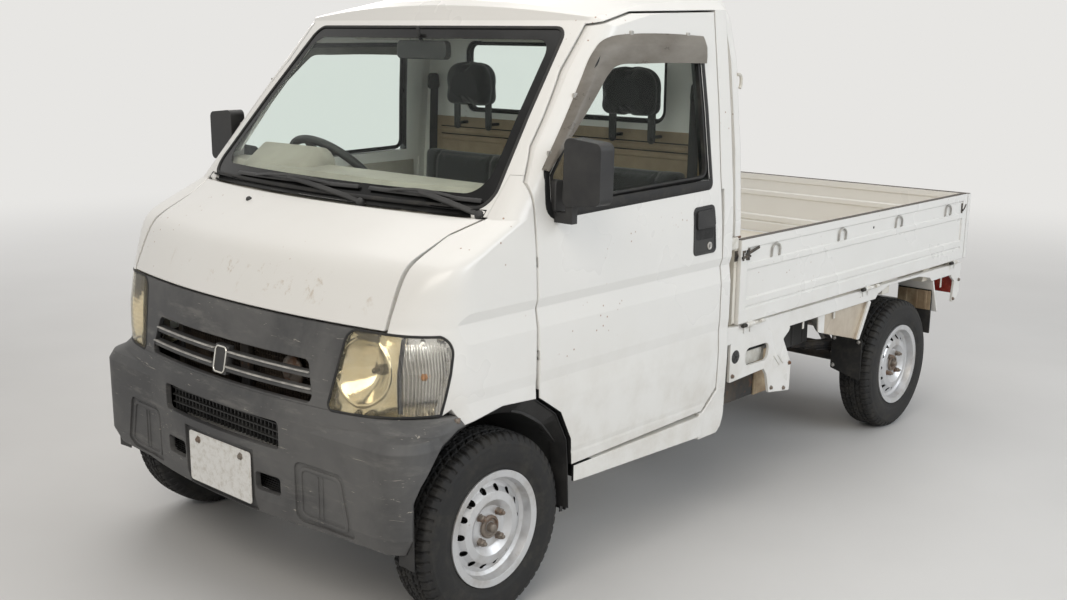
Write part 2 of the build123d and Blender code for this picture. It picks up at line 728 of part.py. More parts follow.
with BuildPart() as wheel_liners:
    for side in (-1, 1):
        ends = sorted((side * LINER_IN, side * LINER_OUT))
        inner = sorted((side * (LINER_IN + LINER_WALL), side * HALF))
        add(cylinder_x(ends, FRONT_AXLE, WHEEL_Z, LINER_R))
        add(cylinder_x(inner, FRONT_AXLE, WHEEL_Z, LINER_R - LINER_WALL), mode=Mode.SUBTRACT)
        add(block((-900, 900), (FRONT - 50, 0), (-200, 225)), mode=Mode.SUBTRACT)
        add(block((-900, 900), (FRONT - 50, FRONT_AXLE - 150), (0, 420)), mode=Mode.SUBTRACT)
write(wheel_liners.part, "wheel_liners")

# Line of the steering shaft
wheel_plane = Plane(origin=(STEER_X, STEER_Y, STEER_Z), x_dir=(1, 0, 0),
                    z_dir=(0, math.sin(math.radians(STEER_TILT)), math.cos(math.radians(STEER_TILT))))

with BuildPart() as dashboard:
    slope = (FIREWALL_TOP[0] - FIREWALL_BEND[0]) / (FIREWALL_TOP[1] - FIREWALL_BEND[1])
    seat = (FIREWALL_TOP[0] + SEAT_GAP, FIREWALL_TOP[1])
    profile = [seat, (-1238, 1185), (-1120, 1190), (-1070, 1120), (-1100, 960), (-1180, 900),
               (seat[0] - 30 * slope, seat[1] - 30)]
    add(prism_x(profile, -640, 640))
    add(prism_x([(-1210, 1180), (-1140, 1235), (-1110, 1225), (-1110, 1100)], STEER_X - 150, STEER_X + 150))
    add(cab_form(WALL + 5), mode=Mode.INTERSECT)
    add(cylinder_x((-HALF, HALF), HOOD_PIVOT_Y, HOOD_PIVOT_Z, HOOD_LUG_R + 8), mode=Mode.SUBTRACT)
    with Locations(wheel_plane):
        Cylinder(28 + SEAT_GAP, 700, mode=Mode.SUBTRACT)
write(dashboard.part, "dashboard")

SEAT_X = 375.0
with BuildPart() as seats:
    for side in (-1, 1):
        x = side * SEAT_X
        add(prism_x([(-760, 640.3), (-760, 765), (-330, 765), (-330, 640.3)], x - 235, x + 235, 20))
        add(prism_x([(-380, 765.3), (-340, 1265), (-250, 1265), (-290, 765.3)], x - 235, x + 235, 20))
        add(block((x - 108, x + 108), (-345, -250), (1350, 1505)))
        for stalk in (-50, 50):
            add(block((x + stalk - 10, x + stalk + 10), (-305, -295), (1264, 1351)))
write(seats.part, "seats")

WIPER_DEPTH = 5.0
with BuildPart() as wipers:
    for start, end in (((-330, 1156), (160, 1178)), ((170, 1156), (600, 1178))):
        add(prism_y([start, end, (end[0], end[1] + 16), (start[0], start[1] + 16)], FRONT + 340, FRONT + 420))
    add(cab_skin(-WIPER_DEPTH, GLASS_SINK - SEAT_GAP), mode=Mode.INTERSECT)
write(wipers.part, "wipers")

# Steering wheel and its column
with BuildPart() as steering_wheel:
    with Locations(wheel_plane):
        Torus(WHEEL_RIM_R, WHEEL_TUBE_R)
        Cylinder(45, 40, align=(Align.CENTER, Align.CENTER, Align.MAX))
        with Locations((0, 0, -20)):
            Box(2 * WHEEL_RIM_R - 10, 30, 14)
write(steering_wheel.part, "steering_wheel")

with BuildPart() as steering_column:
    with Locations(wheel_plane):
        with Locations((0, 0, -40 - SEAT_GAP)):
            Cylinder(28, 220, align=(Align.CENTER, Align.CENTER, Align.MAX))
write(steering_column.part, "steering_column")

# Bed: a deck on cross beams, with drop sides hinged on the rails and a hinged tailgate
REAR_SILL = (TAIL_OUT - 38, TAIL_OUT - 12)
FRONT_SKIRT = [
    (-167, RAIL_LOW),
    (-167, 458),
    (50, 466),
    (72, 440),
    (91, 371),
    (232, 351),
    (234, 455),
    (174, 552),
    (209, 574),
    (222, RAIL_LOW),
]
SKIRT_HOLE = [(-69, 560), (84, 558), (70, 496), (-74, 498)]
REAR_BRACKET = [
    (1560, RAIL_LOW),
    (1612, 560),
    (1600, 466),
    (1636, 470),
    (1672, 505),
    (1672, RAIL_LOW),
]
RAIL_SIDE = [
    (CAB_BACK + 6, 655),
    (CAB_BACK + 6, RAIL_LOW),
    (REAR_SILL[1], RAIL_LOW),
    (REAR_SILL[1], 636),
    (-140, 649),
]
RAIL_ARCH = [
    (820, 552),
    (887, 610),
    (975, 631),
    (1252, 628),
    (1358, 609),
    (1430, 550),
]
WHEEL_GUARD = [(450, RAIL_LOW + 4), (458, 522), (747, 447), (821, 578), (821, RAIL_LOW + 4)]
with BuildPart() as bed_deck:
    deck_ends = (GATE_FRONT - 6, TAIL_OUT - GATE_WALL - 5)
    add(block((-RAIL_IN, RAIL_IN), deck_ends, (DECK_TOP - DECK_WALL, DECK_TOP)))
    for y in BEAM_Y:
        add(block((-RAIL_IN, RAIL_IN), (y - 30, y + 30), (RAIL_LOW, DECK_TOP - DECK_WALL)))
        add(block((-FRAME_X - 40, FRAME_X + 40), (y - 30, y + 30), (BEAM_LOW, RAIL_LOW)))
    add(block((-RAIL_IN, RAIL_IN), REAR_SILL, (RAIL_LOW, DECK_TOP - 5)))
    for x in TAIL_HINGE_X:
        for ear in (-1, 1):
            ends = (x + ear * 19 - 4, x + ear * 19 + 4)
            add(cylinder_x(ends, TAIL_OUT + GATE_AXIS_OUT, GATE_AXIS_Z, KNUCKLE_R))
            add(block(ends, (REAR_SILL[1], TAIL_OUT + GATE_AXIS_OUT), (GATE_AXIS_Z - KNUCKLE_R, GATE_AXIS_Z)))
        add(cylinder_x((x - 23, x + 23), TAIL_OUT + GATE_AXIS_OUT, GATE_AXIS_Z, GATE_HINGE_R))
write(bed_deck.part, "bed_deck")

with BuildPart() as side_rails:
    for side in (-1, 1):
        ends = sorted((side * RAIL_IN, side * RAIL_OUT))
        add(prism_x(RAIL_SIDE, *ends))
        ends = sorted((side * (RAIL_OUT - 10), side * RAIL_OUT))
        add(prism_x(FRONT_SKIRT, *ends, 6))
        add(prism_x(SKIRT_HOLE, *ends, 24), mode=Mode.SUBTRACT)
        add(prism_x(REAR_BRACKET, *ends, 6))
        rib = sorted((side * RAIL_OUT, side * (RAIL_OUT + 3)))
        for start in (112, 138):
            add(prism_x([(start, 500), (start + 8, 504), (start + 46, 466), (start + 38, 462)], *rib))
        wide = sorted((side * (RAIL_IN - 1), side * (RAIL_OUT + 1)))
        add(prism_x(RAIL_ARCH, *wide, 12), mode=Mode.SUBTRACT)
        guard = sorted((side * (RAIL_IN - 5), side * (RAIL_IN + 1)))
        add(prism_x(WHEEL_GUARD, *guard))
        beside = sorted((side * (RAIL_IN - 6), side * RAIL_IN))
        add(block(beside, (BEAM_Y[2] - 31, BEAM_Y[2] + 31), (RAIL_LOW - SEAT_GAP, RAIL_LOW + 5)),
            mode=Mode.SUBTRACT)
        flange = sorted((side * (RAIL_IN - 5), side * (RAIL_OUT - 2)))
        add(prism_x([(740, 447), (757, 447), (835, 583), (818, 597)], *flange))
        add(prism_x([(1396, 584), (1406, 588), (1466, 449), (1456, 445)], *flange))
        panel = sorted((side * 560, side * (RAIL_OUT - 2)))
        add(prism_x([(1397, 640), (1402, 640), (1402, 586), (1461, 449), (1456, 447), (1397, 584)], *panel))
        axis_x = side * (GATE_OUT + GATE_AXIS_OUT)
        for y in GATE_HINGE_Y:
            for ear in (-1, 1):
                ends = (y + ear * 19 - 4, y + ear * 19 + 4)
                add(cylinder_y(axis_x, ends, GATE_AXIS_Z, KNUCKLE_R))
                reach = sorted((side * (RAIL_OUT - 2), axis_x))
                add(block(reach, ends, (GATE_AXIS_Z - KNUCKLE_R, GATE_AXIS_Z)))
                reach = sorted((side * (RAIL_OUT - 2), side * (RAIL_OUT + 4)))
                add(block(reach, ends, (GATE_AXIS_Z - 30, GATE_AXIS_Z - KNUCKLE_R)))
            add(cylinder_y(axis_x, (y - 23, y + 23), GATE_AXIS_Z, GATE_HINGE_R))
write(side_rails.part, "side_rails")


for side, name in ((1, "left"), (-1, "right")):
    axis_x = side * (GATE_OUT + GATE_AXIS_OUT)
    with BuildPart() as gate:
        ends = sorted((side * (GATE_OUT - GATE_WALL), side * GATE_OUT))
        gate_rear = TAIL_OUT - GATE_WALL - SHUT_GAP
        add(block(ends, (GATE_FRONT, gate_rear), (DECK_TOP + GATE_GAP, GATE_TOP)))
        pressed = (GATE_FRONT + GATE_PLAIN_END, gate_rear - GATE_PLAIN_END)
        for outline in pressings():
            add(prism_y([(side * x, z) for x, z in outline], *pressed), mode=Mode.SUBTRACT)
        for y in GATE_HINGE_Y:
            ends = (y - KNUCKLE_LONG / 2, y + KNUCKLE_LONG / 2)
            add(cylinder_y(axis_x, ends, GATE_AXIS_Z, KNUCKLE_R))
            web = sorted((side * (GATE_OUT - 5), axis_x))
            add(block(web, ends, (GATE_AXIS_Z, DECK_TOP + GATE_GAP + 5)))
            add(cylinder_y(axis_x, ends, GATE_AXIS_Z, GATE_HINGE_R + RUNNING_FIT), mode=Mode.SUBTRACT)
    write(gate.part, f"side_gate_{name}")

with BuildPart() as tailgate:
    add(block((-GATE_OUT, GATE_OUT), (TAIL_OUT - GATE_WALL, TAIL_OUT), (DECK_TOP + GATE_GAP, GATE_TOP - 2)))
    for outline in pressings():
        add(prism_x([(x + TAIL_OUT - GATE_OUT, z) for x, z in outline], GATE_PLAIN_END - GATE_OUT,
                    GATE_OUT - GATE_PLAIN_END), mode=Mode.SUBTRACT)
    axis_y = TAIL_OUT + GATE_AXIS_OUT
    for x in TAIL_HINGE_X:
        ends = (x - KNUCKLE_LONG / 2, x + KNUCKLE_LONG / 2)
        add(cylinder_x(ends, axis_y, GATE_AXIS_Z, KNUCKLE_R))
        add(block(ends, (TAIL_OUT - 5, axis_y), (GATE_AXIS_Z, DECK_TOP + GATE_GAP + 5)))
        add(cylinder_x(ends, axis_y, GATE_AXIS_Z, GATE_HINGE_R + RUNNING_FIT), mode=Mode.SUBTRACT)
write(tailgate.part, "tailgate")

with BuildPart() as front_board:
    add(block((-RAIL_IN + 2, RAIL_IN - 2), (GATE_FRONT - 22, GATE_FRONT - 6), (RAIL_LOW, GATE_TOP + 8)))
    for side in (-1, 1):
        post = sorted((side * 678, side * 723))
        add(block(post, (GATE_FRONT - 22, GATE_FRONT - SHUT_GAP), (RAIL_LOW + 70, GATE_TOP + 8)))
write(front_board.part, "front_board")

# Guard frame: one bent rectangular tube behind the cab
GUARD_Y = GATE_FRONT - 4
GUARD_TUBE = (36.0, 32.0)
GUARD_FOOT = GATE_TOP + 8
GUARD_TOP = HEIGHT - GUARD_TUBE[0] / 2
GUARD_HALF_PATH = [
    (702, GUARD_FOOT),
    (702, 1000),
    (688, 1238),
    (657, 1526),
    (628, 1645),
    (585, 1722),
    (515, GUARD_TOP),
]
GUARD_BEND_R = 120.0
with BuildPart() as guard_frame:
    with BuildLine(Plane.XZ.offset(-GUARD_Y)) as route:
        other_half = [(-x, z) for x, z in reversed(GUARD_HALF_PATH)]
        FilletPolyline(*GUARD_HALF_PATH, *other_half, radius=GUARD_BEND_R)
    with BuildSketch(Plane(origin=route.line @ 0, x_dir=(1, 0, 0), z_dir=(0, 0, 1))):
        Rectangle(*GUARD_TUBE)
    sweep(path=route.line)
    for height, reach in ((1010, 696), (1290, 680)):
        add(cylinder_x((-reach, reach), GUARD_Y, height, 11))
write(guard_frame.part, "guard_frame")

# Flaps hung under the rear guards' sloping panels
MUD_FLAP = [(1412, 355), (1420, 355), (1420, 527.6), (1412, 546.2)]
with BuildPart() as mud_flaps:
    for side in (-1, 1):
        ends = sorted((side * 560, side * (RAIL_OUT - 11)))
        add(prism_x(MUD_FLAP, *ends))
write(mud_flaps.part, "mud_flaps")

with BuildPart() as tail_lamps:
    for side in (-1, 1):
        ends = sorted((side * 590, side * (RAIL_OUT - 10 - SEAT_GAP)))
        add(block(ends, (1634, 1685), (500, 582)))
write(tail_lamps.part, "tail_lamps")

# Frame rails with a kick up over the rear axle
with BuildPart() as ladder_frame:
    low = FRAME_LOW
    top = FRAME_LOW + FRAME_DEPTH
    kick = [(FRONT + 190, low), (500, low), (760, low + FRAME_KICK), (REAR - 60, low + FRAME_KICK),
            (REAR - 60, top + FRAME_KICK), (760, top + FRAME_KICK), (500, top), (FRONT + 190, top)]
    for side in (-1, 1):
        ends = sorted((side * (FRAME_X - FRAME_WIDTH / 2), side * (FRAME_X + FRAME_WIDTH / 2)))
        add(prism_x(kick, *ends))
    for y, z in ((FRONT + 220, low), (-900, low), (-300, low), (350, low), (900, low + FRAME_KICK),
                 (REAR - 100, low + FRAME_KICK)):
        add(block((-FRAME_X, FRAME_X), (y - 30, y + 30), (z + 15, z + FRAME_DEPTH - 15)))
    with BuildPart(mode=Mode.PRIVATE) as tow_eye:
        add(block((FRAME_X - 25, FRAME_X + 25), (TOW_EYE_Y - 25, -1420), (low - 14, low - 2)))
        add(block((FRAME_X - 25, FRAME_X + 25), (TOW_EYE_Y + 20, -1420), (low - 2, low + 1)))
        with Locations((FRAME_X, TOW_EYE_Y, low - 8)):
            Cylinder(TOW_EYE_R, 20, mode=Mode.SUBTRACT)
    add(tow_eye.part)
    for side in (-1, 1):
        ends = sorted((side * (FRAME_X - FRAME_WIDTH / 2), side * (FRAME_X + FRAME_WIDTH / 2)))
        for y in BEAM_Y[:2]:
            add(block(ends, (y - 20, y + 20), (top, BEAM_LOW)))
        ends = sorted((side * FRAME_X, side * (SPRING_X + 25)))
        for y in (SPRING_FRONT + 15, SPRING_REAR - 15):
            add(block(ends, (y - 15, y + 15), (410, 440)))
write(ladder_frame.part, "ladder_frame")

with BuildPart() as engine_block:
    add(block((-240, 240), (380, 860), (205, 410)))
write(engine_block.part, "engine_block")

with BuildPart() as fuel_tank:
    add(block((FRAME_X + FRAME_WIDTH / 2, 600), (-110, 330), (320, 500)))
write(fuel_tank.part, "fuel_tank")

with BuildPart() as muffler:
    add(cylinder_x((-400, 250), 1480, FRAME_LOW + FRAME_KICK - 70 - SEAT_GAP, 70))
write(muffler.part, "muffler")

with BuildPart() as rear_axle:
    add(cylinder_x((-WHEEL_X + 80, WHEEL_X - 80), REAR_AXLE, WHEEL_Z, 38))
    add(cylinder_x((-110, 110), REAR_AXLE, WHEEL_Z, 100))
    for side in (-1, 1):
        ends = sorted((side * (WHEEL_X - 80), side * (WHEEL_X - 30)))
        add(cylinder_x(ends, REAR_AXLE, WHEEL_Z, 100))
        ends = sorted((side * (WHEEL_X - 80), side * (WHEEL_X + 45)))
        add(cylinder_x(ends, REAR_AXLE, WHEEL_Z, STUB_R))
        ends = sorted((side * (SPRING_X - 25), side * (SPRING_X + 25)))
        spring = [(SPRING_FRONT, 398), (REAR_AXLE, 318), (SPRING_REAR, 398), (SPRING_REAR, 410),
                  (SPRING_REAR - 30, 410), (REAR_AXLE, 340), (SPRING_FRONT + 30, 410), (SPRING_FRONT, 410)]
        add(prism_x(spring, *ends))
        add(block(ends, (REAR_AXLE - 40, REAR_AXLE + 40), (290, 345)))
write(rear_axle.part, "rear_axle")

# Front suspension: a cross beam, lower arms and strut rods on the inclined steering axes
tilt = math.radians(KINGPIN_TILT)
LINER_CEILING = WHEEL_Z + LINER_R - LINER_WALL
UPWARD = (Align.CENTER, Align.CENTER, Align.MIN)
STRUT_TOP = (LINER_CEILING - 0.5 - KINGPIN_Z - 10 * math.sin(tilt)) / math.cos(tilt)
with BuildPart() as front_suspension:
    add(block((-FRAME_X, FRAME_X), (FRONT_AXLE - 50, FRONT_AXLE + 50), (200, FRAME_LOW)))
    for side in (-1, 1):
        ends = sorted((side * 300, side * (KINGPIN_X + 20)))
        add(block(ends, (FRONT_AXLE - 25, FRONT_AXLE + 25), (148, 166)))
        ends = sorted((side * 290, side * 330))
        add(block(ends, (FRONT_AXLE - 25, FRONT_AXLE + 25), (148, 210)))
        with Locations(kingpin_plane(side)):
            with Locations((0, 0, -45)):
                Cylinder(9, 65, align=UPWARD)
            with Locations((0, 0, 330)):
                Cylinder(10, STRUT_TOP - 330, align=UPWARD)
write(front_suspension.part, "front_suspension")

for side, name in ((1, "left"), (-1, "right")):
    axis = kingpin_plane(side)
    with BuildPart() as knuckle:
        with Locations(axis):
            Cylinder(24, 360, align=UPWARD)
        ends = sorted((side * (WHEEL_X - 95), side * (WHEEL_X + 45)))
        add(cylinder_x(ends, FRONT_AXLE, WHEEL_Z, STUB_R))
        ends = sorted((side * (WHEEL_X - 37), side * (WHEEL_X - 5)))
        add(cylinder_x(ends, FRONT_AXLE, WHEEL_Z, 88))
        with Locations(axis):
            Cylinder(9 + RUNNING_FIT, 22, align=UPWARD, mode=Mode.SUBTRACT)
            with Locations((0, 0, 300)):
                Cylinder(10 + RUNNING_FIT, 100, align=UPWARD, mode=Mode.SUBTRACT)
    write(knuckle.part, f"knuckle_{name}")

# Wheels. Profiles are drawn for a wheel whose outside faces +X, as (x from its middle, radius).
BEAD = RIM_R + SEAT_GAP
TYRE_PROFILE = [(-57.5, BEAD), (-61.5, 167), (-69, 188), (-73, 215), (-68, 245), (-58, 262), (-40, TYRE_R),
                (40, TYRE_R), (58, 262), (68, 245), (73, 215), (69, 188), (61.5, 167), (57.5, BEAD)]
RIM_PROFILE = [
    (-62, RIM_FLANGE_R),
    (-68, RIM_FLANGE_R),
    (-68, RIM_R - 6),
    (-30, RIM_R - 10),
    (-10, 126),
    (22, 126),
    (30, 108),
    (44, 98),
    (47, 80),
    (32, 66),
    (20, 40),
    (20, STUB_R + RUNNING_FIT),
    (40, STUB_R + RUNNING_FIT),
    (40, 60),
    (55, 80),
    (52, 102),
    (38, 116),
    (34, 130),
    (40, 140),
    (66, RIM_R - 6),
    (68, RIM_FLANGE_R),
    (62, RIM_FLANGE_R),
    (58, RIM_R),
    (-58, RIM_R),
]


def revolved(profile, x, y, side):
    """A wheel profile turned about the axle line, its outside facing away from the truck."""
    with BuildPart() as turned:
        with BuildSketch(Plane.XZ.offset(-y)):
            with BuildLine():
                Polyline(*[(x + side * across, WHEEL_Z + radius) for across, radius in profile], close=True)
            make_face()
        revolve(axis=Axis((0, y, WHEEL_Z), (1, 0, 0)))
    return turned.part


for end, y in (("front", FRONT_AXLE), ("rear", REAR_AXLE)):
    for side, name in ((1, "left"), (-1, "right")):
        x = side * WHEEL_X
        write(revolved(TYRE_PROFILE, x, y, side), f"tyre_{end}_{name}")
        with BuildPart() as rim:
            add(revolved(RIM_PROFILE, x, y, side))
            with Locations(Plane(origin=(x, y, WHEEL_Z), x_dir=(0, 1, 0), z_dir=(1, 0, 0))):
                with PolarLocations(112, RIM_HOLES):
                    Cylinder(9, 160, mode=Mode.SUBTRACT)
        write(rim.part, f"rim_{end}_{name}")
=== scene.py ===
import json
import math
import random

import bmesh
import bpy
from mathutils import Matrix, Vector
from mathutils.bvhtree import BVHTree


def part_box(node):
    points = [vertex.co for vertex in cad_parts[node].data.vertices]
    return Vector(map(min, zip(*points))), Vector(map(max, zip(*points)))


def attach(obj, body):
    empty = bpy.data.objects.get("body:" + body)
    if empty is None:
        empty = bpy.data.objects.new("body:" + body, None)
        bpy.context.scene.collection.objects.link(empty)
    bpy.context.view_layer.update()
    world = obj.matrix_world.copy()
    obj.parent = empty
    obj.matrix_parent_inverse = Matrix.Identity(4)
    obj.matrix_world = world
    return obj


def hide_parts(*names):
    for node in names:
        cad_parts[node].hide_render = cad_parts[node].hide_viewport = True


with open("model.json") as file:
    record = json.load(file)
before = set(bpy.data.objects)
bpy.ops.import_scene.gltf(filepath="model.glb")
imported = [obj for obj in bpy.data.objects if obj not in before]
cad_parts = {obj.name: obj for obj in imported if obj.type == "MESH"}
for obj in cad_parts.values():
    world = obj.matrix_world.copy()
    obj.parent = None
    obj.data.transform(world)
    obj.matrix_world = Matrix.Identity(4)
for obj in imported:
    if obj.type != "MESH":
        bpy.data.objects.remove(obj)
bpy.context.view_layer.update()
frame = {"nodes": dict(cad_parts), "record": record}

nodes = frame["nodes"]
random.seed(7)

SIDES = ((1, "left"), (-1, "right"))
FRONT_AXLE = -1.284
REAR_AXLE = 1.136
WHEEL_HEIGHT = 0.27
HALF_TRACK = 0.645
GATE_FACE = 0.7305
HINGE_X, HINGE_HEIGHT = 0.7365, 0.649
HINGES = (-0.072, 0.773, 1.575)
SEAT_MIDDLE = 0.375
BACKDROP = (0.8, 0.79, 0.77, 1)


def linked(name, data):
    """A new object with this data, put into the scene."""
    piece = bpy.data.objects.new(name, data)
    bpy.context.scene.collection.objects.link(piece)
    return piece


def shaded(data, degrees):
    """Smooth faces, with the edges past an angle kept sharp."""
    data.polygons.foreach_set("use_smooth", [True] * len(data.polygons))
    data.set_sharp_from_angle(angle=math.radians(degrees))


# Camera, light and floor

CAMERA_PLACE = Vector((2.8895, -3.5453, 1.5933))
CAMERA_YAW = math.radians(42.146)
CAMERA_PITCH = math.radians(-12.296)
CAMERA_ROLL = math.radians(0.616)
CAMERA_LENS = 41.086
CAMERA_SHIFT = 0.00197


def make_camera():
    """The camera at the photograph's place and angle."""
    ahead = Vector((-math.sin(CAMERA_YAW) * math.cos(CAMERA_PITCH),
                    math.cos(CAMERA_YAW) * math.cos(CAMERA_PITCH),
                    math.sin(CAMERA_PITCH)))
    level = Vector((math.cos(CAMERA_YAW), math.sin(CAMERA_YAW), 0))
    upright = level.cross(ahead)
    right = level * math.cos(CAMERA_ROLL) + upright * math.sin(CAMERA_ROLL)
    up = upright * math.cos(CAMERA_ROLL) - level * math.sin(CAMERA_ROLL)
    camera = linked("camera", bpy.data.cameras.new("camera"))
    turn = Matrix((right, up, -ahead)).transposed().to_4x4()
    camera.matrix_world = Matrix.Translation(CAMERA_PLACE) @ turn
    camera.data.lens = CAMERA_LENS
    camera.data.sensor_width = 36
    camera.data.shift_y = CAMERA_SHIFT
    camera.data.clip_start = 0.05
    camera.data.clip_end = 200
    bpy.context.scene.camera = camera


def soft_light(name, place, target, size, power, colour):
    """A large area light that faces the target."""
    lamp = bpy.data.lights.new(name, "AREA")
    lamp.shape = "RECTANGLE"
    lamp.size = size[0]
    lamp.size_y = size[1]
    lamp.energy = power
    lamp.color = colour
    light = linked(name, lamp)
    light.location = place
    light.rotation_euler = (Vector(target) - Vector(place)).to_track_quat("-Z", "Y").to_euler()


def make_world():
    """Even pale surroundings, seen as the backdrop by the camera and in reflections."""
    world = bpy.data.worlds.new("surroundings")
    bpy.context.scene.world = world
    world.use_nodes = True
    tree = world.node_tree
    tree.nodes.clear()
    output = tree.nodes.new("ShaderNodeOutputWorld")
    blend = tree.nodes.new("ShaderNodeMixShader")
    fill = tree.nodes.new("ShaderNodeBackground")
    fill.inputs["Color"].default_value = (0.93, 0.96, 1.0, 1)
    fill.inputs["Strength"].default_value = 0.34
    seen = tree.nodes.new("ShaderNodeBackground")
    seen.inputs["Color"].default_value = BACKDROP
    seen.inputs["Strength"].default_value = 1.0
    path = tree.nodes.new("ShaderNodeLightPath")
    shown = path.outputs["Is Camera Ray"]
    for ray in ("Is Transmission Ray", "Is Glossy Ray"):
        either = tree.nodes.new("ShaderNodeMath")
        either.operation = "MAXIMUM"
        tree.links.new(shown, either.inputs[0])
        tree.links.new(path.outputs[ray], either.inputs[1])
        shown = either.outputs[0]
    tree.links.new(shown, blend.inputs["Fac"])
    tree.links.new(fill.outputs[0], blend.inputs[1])
    tree.links.new(seen.outputs[0], blend.inputs[2])
    tree.links.new(blend.outputs[0], output.inputs["Surface"])


# Finishes


class Shader:
    """A material being put together, with short calls for its nodes."""

    def __init__(self, name, **constants):
        self.material = bpy.data.materials.new(name)
        self.material.use_nodes = True
        self.nodes = self.material.node_tree.nodes
        self.links = self.material.node_tree.links
        self.bsdf = self.nodes["Principled BSDF"]
        self.place = self.nodes.new("ShaderNodeTexCoord").outputs["Object"]
        for socket, value in constants.items():
            self.feed(self.bsdf.inputs[socket.replace("_", " ")], value)

    def feed(self, socket, value):
        """Link a socket to an output, or set its value."""
        if isinstance(value, bpy.types.NodeSocket):
            self.links.new(value, socket)
        elif isinstance(value, tuple) and socket.type == "RGBA" and len(value) == 3:
            socket.default_value = (*value, 1)
        else:
            socket.default_value = value

    def node(self, kind, values, output=0, **settings):
        node = self.nodes.new(kind)
        for setting, value in settings.items():
            setattr(node, setting, value)
        for socket, value in values.items():
            self.feed(node.inputs[socket], value)
        return node.outputs[output]

    def stretched(self, scale):
        """Object coordinates, multiplied along each axis."""
        return self.node("ShaderNodeMapping", {"Vector": self.place, "Scale": scale})

    def noise(self, scale, detail=3.0, rough=0.5, stretch=None, distortion=0.0):
        place = self.stretched(stretch) if stretch else self.place
        return self.node("ShaderNodeTexNoise", {"Vector": place, "Scale": scale, "Detail": detail,
                                                "Roughness": rough, "Distortion": distortion})

    def cells(self, scale, feature="F1", stretch=None):
        place = self.stretched(stretch) if stretch else self.place
        return self.node("ShaderNodeTexVoronoi", {"Vector": place, "Scale": scale}, feature=feature)

    def span(self, value, low, high, start=0.0, end=1.0):
        """A smooth step from start to end as value goes from low to high."""
        return self.node("ShaderNodeMapRange", {"Value": value, "From Min": low, "From Max": high,
                                                "To Min": start, "To Max": end},
                         interpolation_type="SMOOTHSTEP")

    def math(self, operation, first, second=0.0, clamp=False):
        return self.node("ShaderNodeMath", {0: first, 1: second}, operation=operation, use_clamp=clamp)

    def axis(self, letter):
        """One object coordinate."""
        return self.node("ShaderNodeSeparateXYZ", {"Vector": self.place}, output=letter.upper())

    def side(self):
        """Distance from the middle plane."""
        return self.math("ABSOLUTE", self.axis("x"))

    def tilt(self):
        """How far the surface faces sideways, from 0 to 1."""
        normal = self.nodes.new("ShaderNodeNewGeometry").outputs["True Normal"]
        sideways = self.node("ShaderNodeSeparateXYZ", {"Vector": normal}, output="X")
        return self.math("ABSOLUTE", sideways)

    def reach(self, y, z):
        """Distance from a line across the truck."""
        flat = self.node("ShaderNodeVectorMath", {0: self.place, 1: (0.0, 1.0, 1.0)}, operation="MULTIPLY")
        return self.node("ShaderNodeVectorMath", {0: flat, 1: (0.0, y, z)}, output="Value",
                         operation="DISTANCE")

    def inside(self, low, high):
        """1 between two corners on either side of the truck, taken from its middle outwards."""
        amount = self.math("GREATER_THAN", self.side(), low[0])
        for value, (least, most) in ((self.side(), (low[0], high[0])), (self.axis("y"), (low[1], high[1])),
                                     (self.axis("z"), (low[2], high[2]))):
            amount = self.math("MULTIPLY", amount, self.math("GREATER_THAN", value, least))
            amount = self.math("MULTIPLY", amount, self.math("LESS_THAN", value, most))
        return amount

    def near(self, centre, radii):
        """1 at centre, falling to 0 at the given distances along each axis."""
        shifted = self.node("ShaderNodeVectorMath", {0: self.place, 1: centre}, operation="SUBTRACT")
        scaled = self.node("ShaderNodeVectorMath", {0: shifted, 1: radii}, operation="DIVIDE")
        length = self.node("ShaderNodeVectorMath", {0: scaled}, output="Value", operation="LENGTH")
        return self.span(length, 0.25, 1.0, 1.0, 0.0)

    def mix(self, amount, first, second):
        """A colour between two others."""
        return self.node("ShaderNodeMix", {"Factor": amount, 6: first, 7: second}, output=2, data_type="RGBA")

    def bump(self, height, distance, strength=1.0, normal=None):
        values = {"Height": height, "Distance": distance, "Strength": strength}
        if normal is not None:
            values["Normal"] = normal
        return self.node("ShaderNodeBump", values)

    def rounded(self, radius):
        """The surface normal with its edges rounded off."""
        return self.node("ShaderNodeBevel", {"Radius": radius}, samples=4)

    def set(self, **values):
        for socket, value in values.items():
            self.feed(self.bsdf.inputs[socket.replace("_", " ")], value)


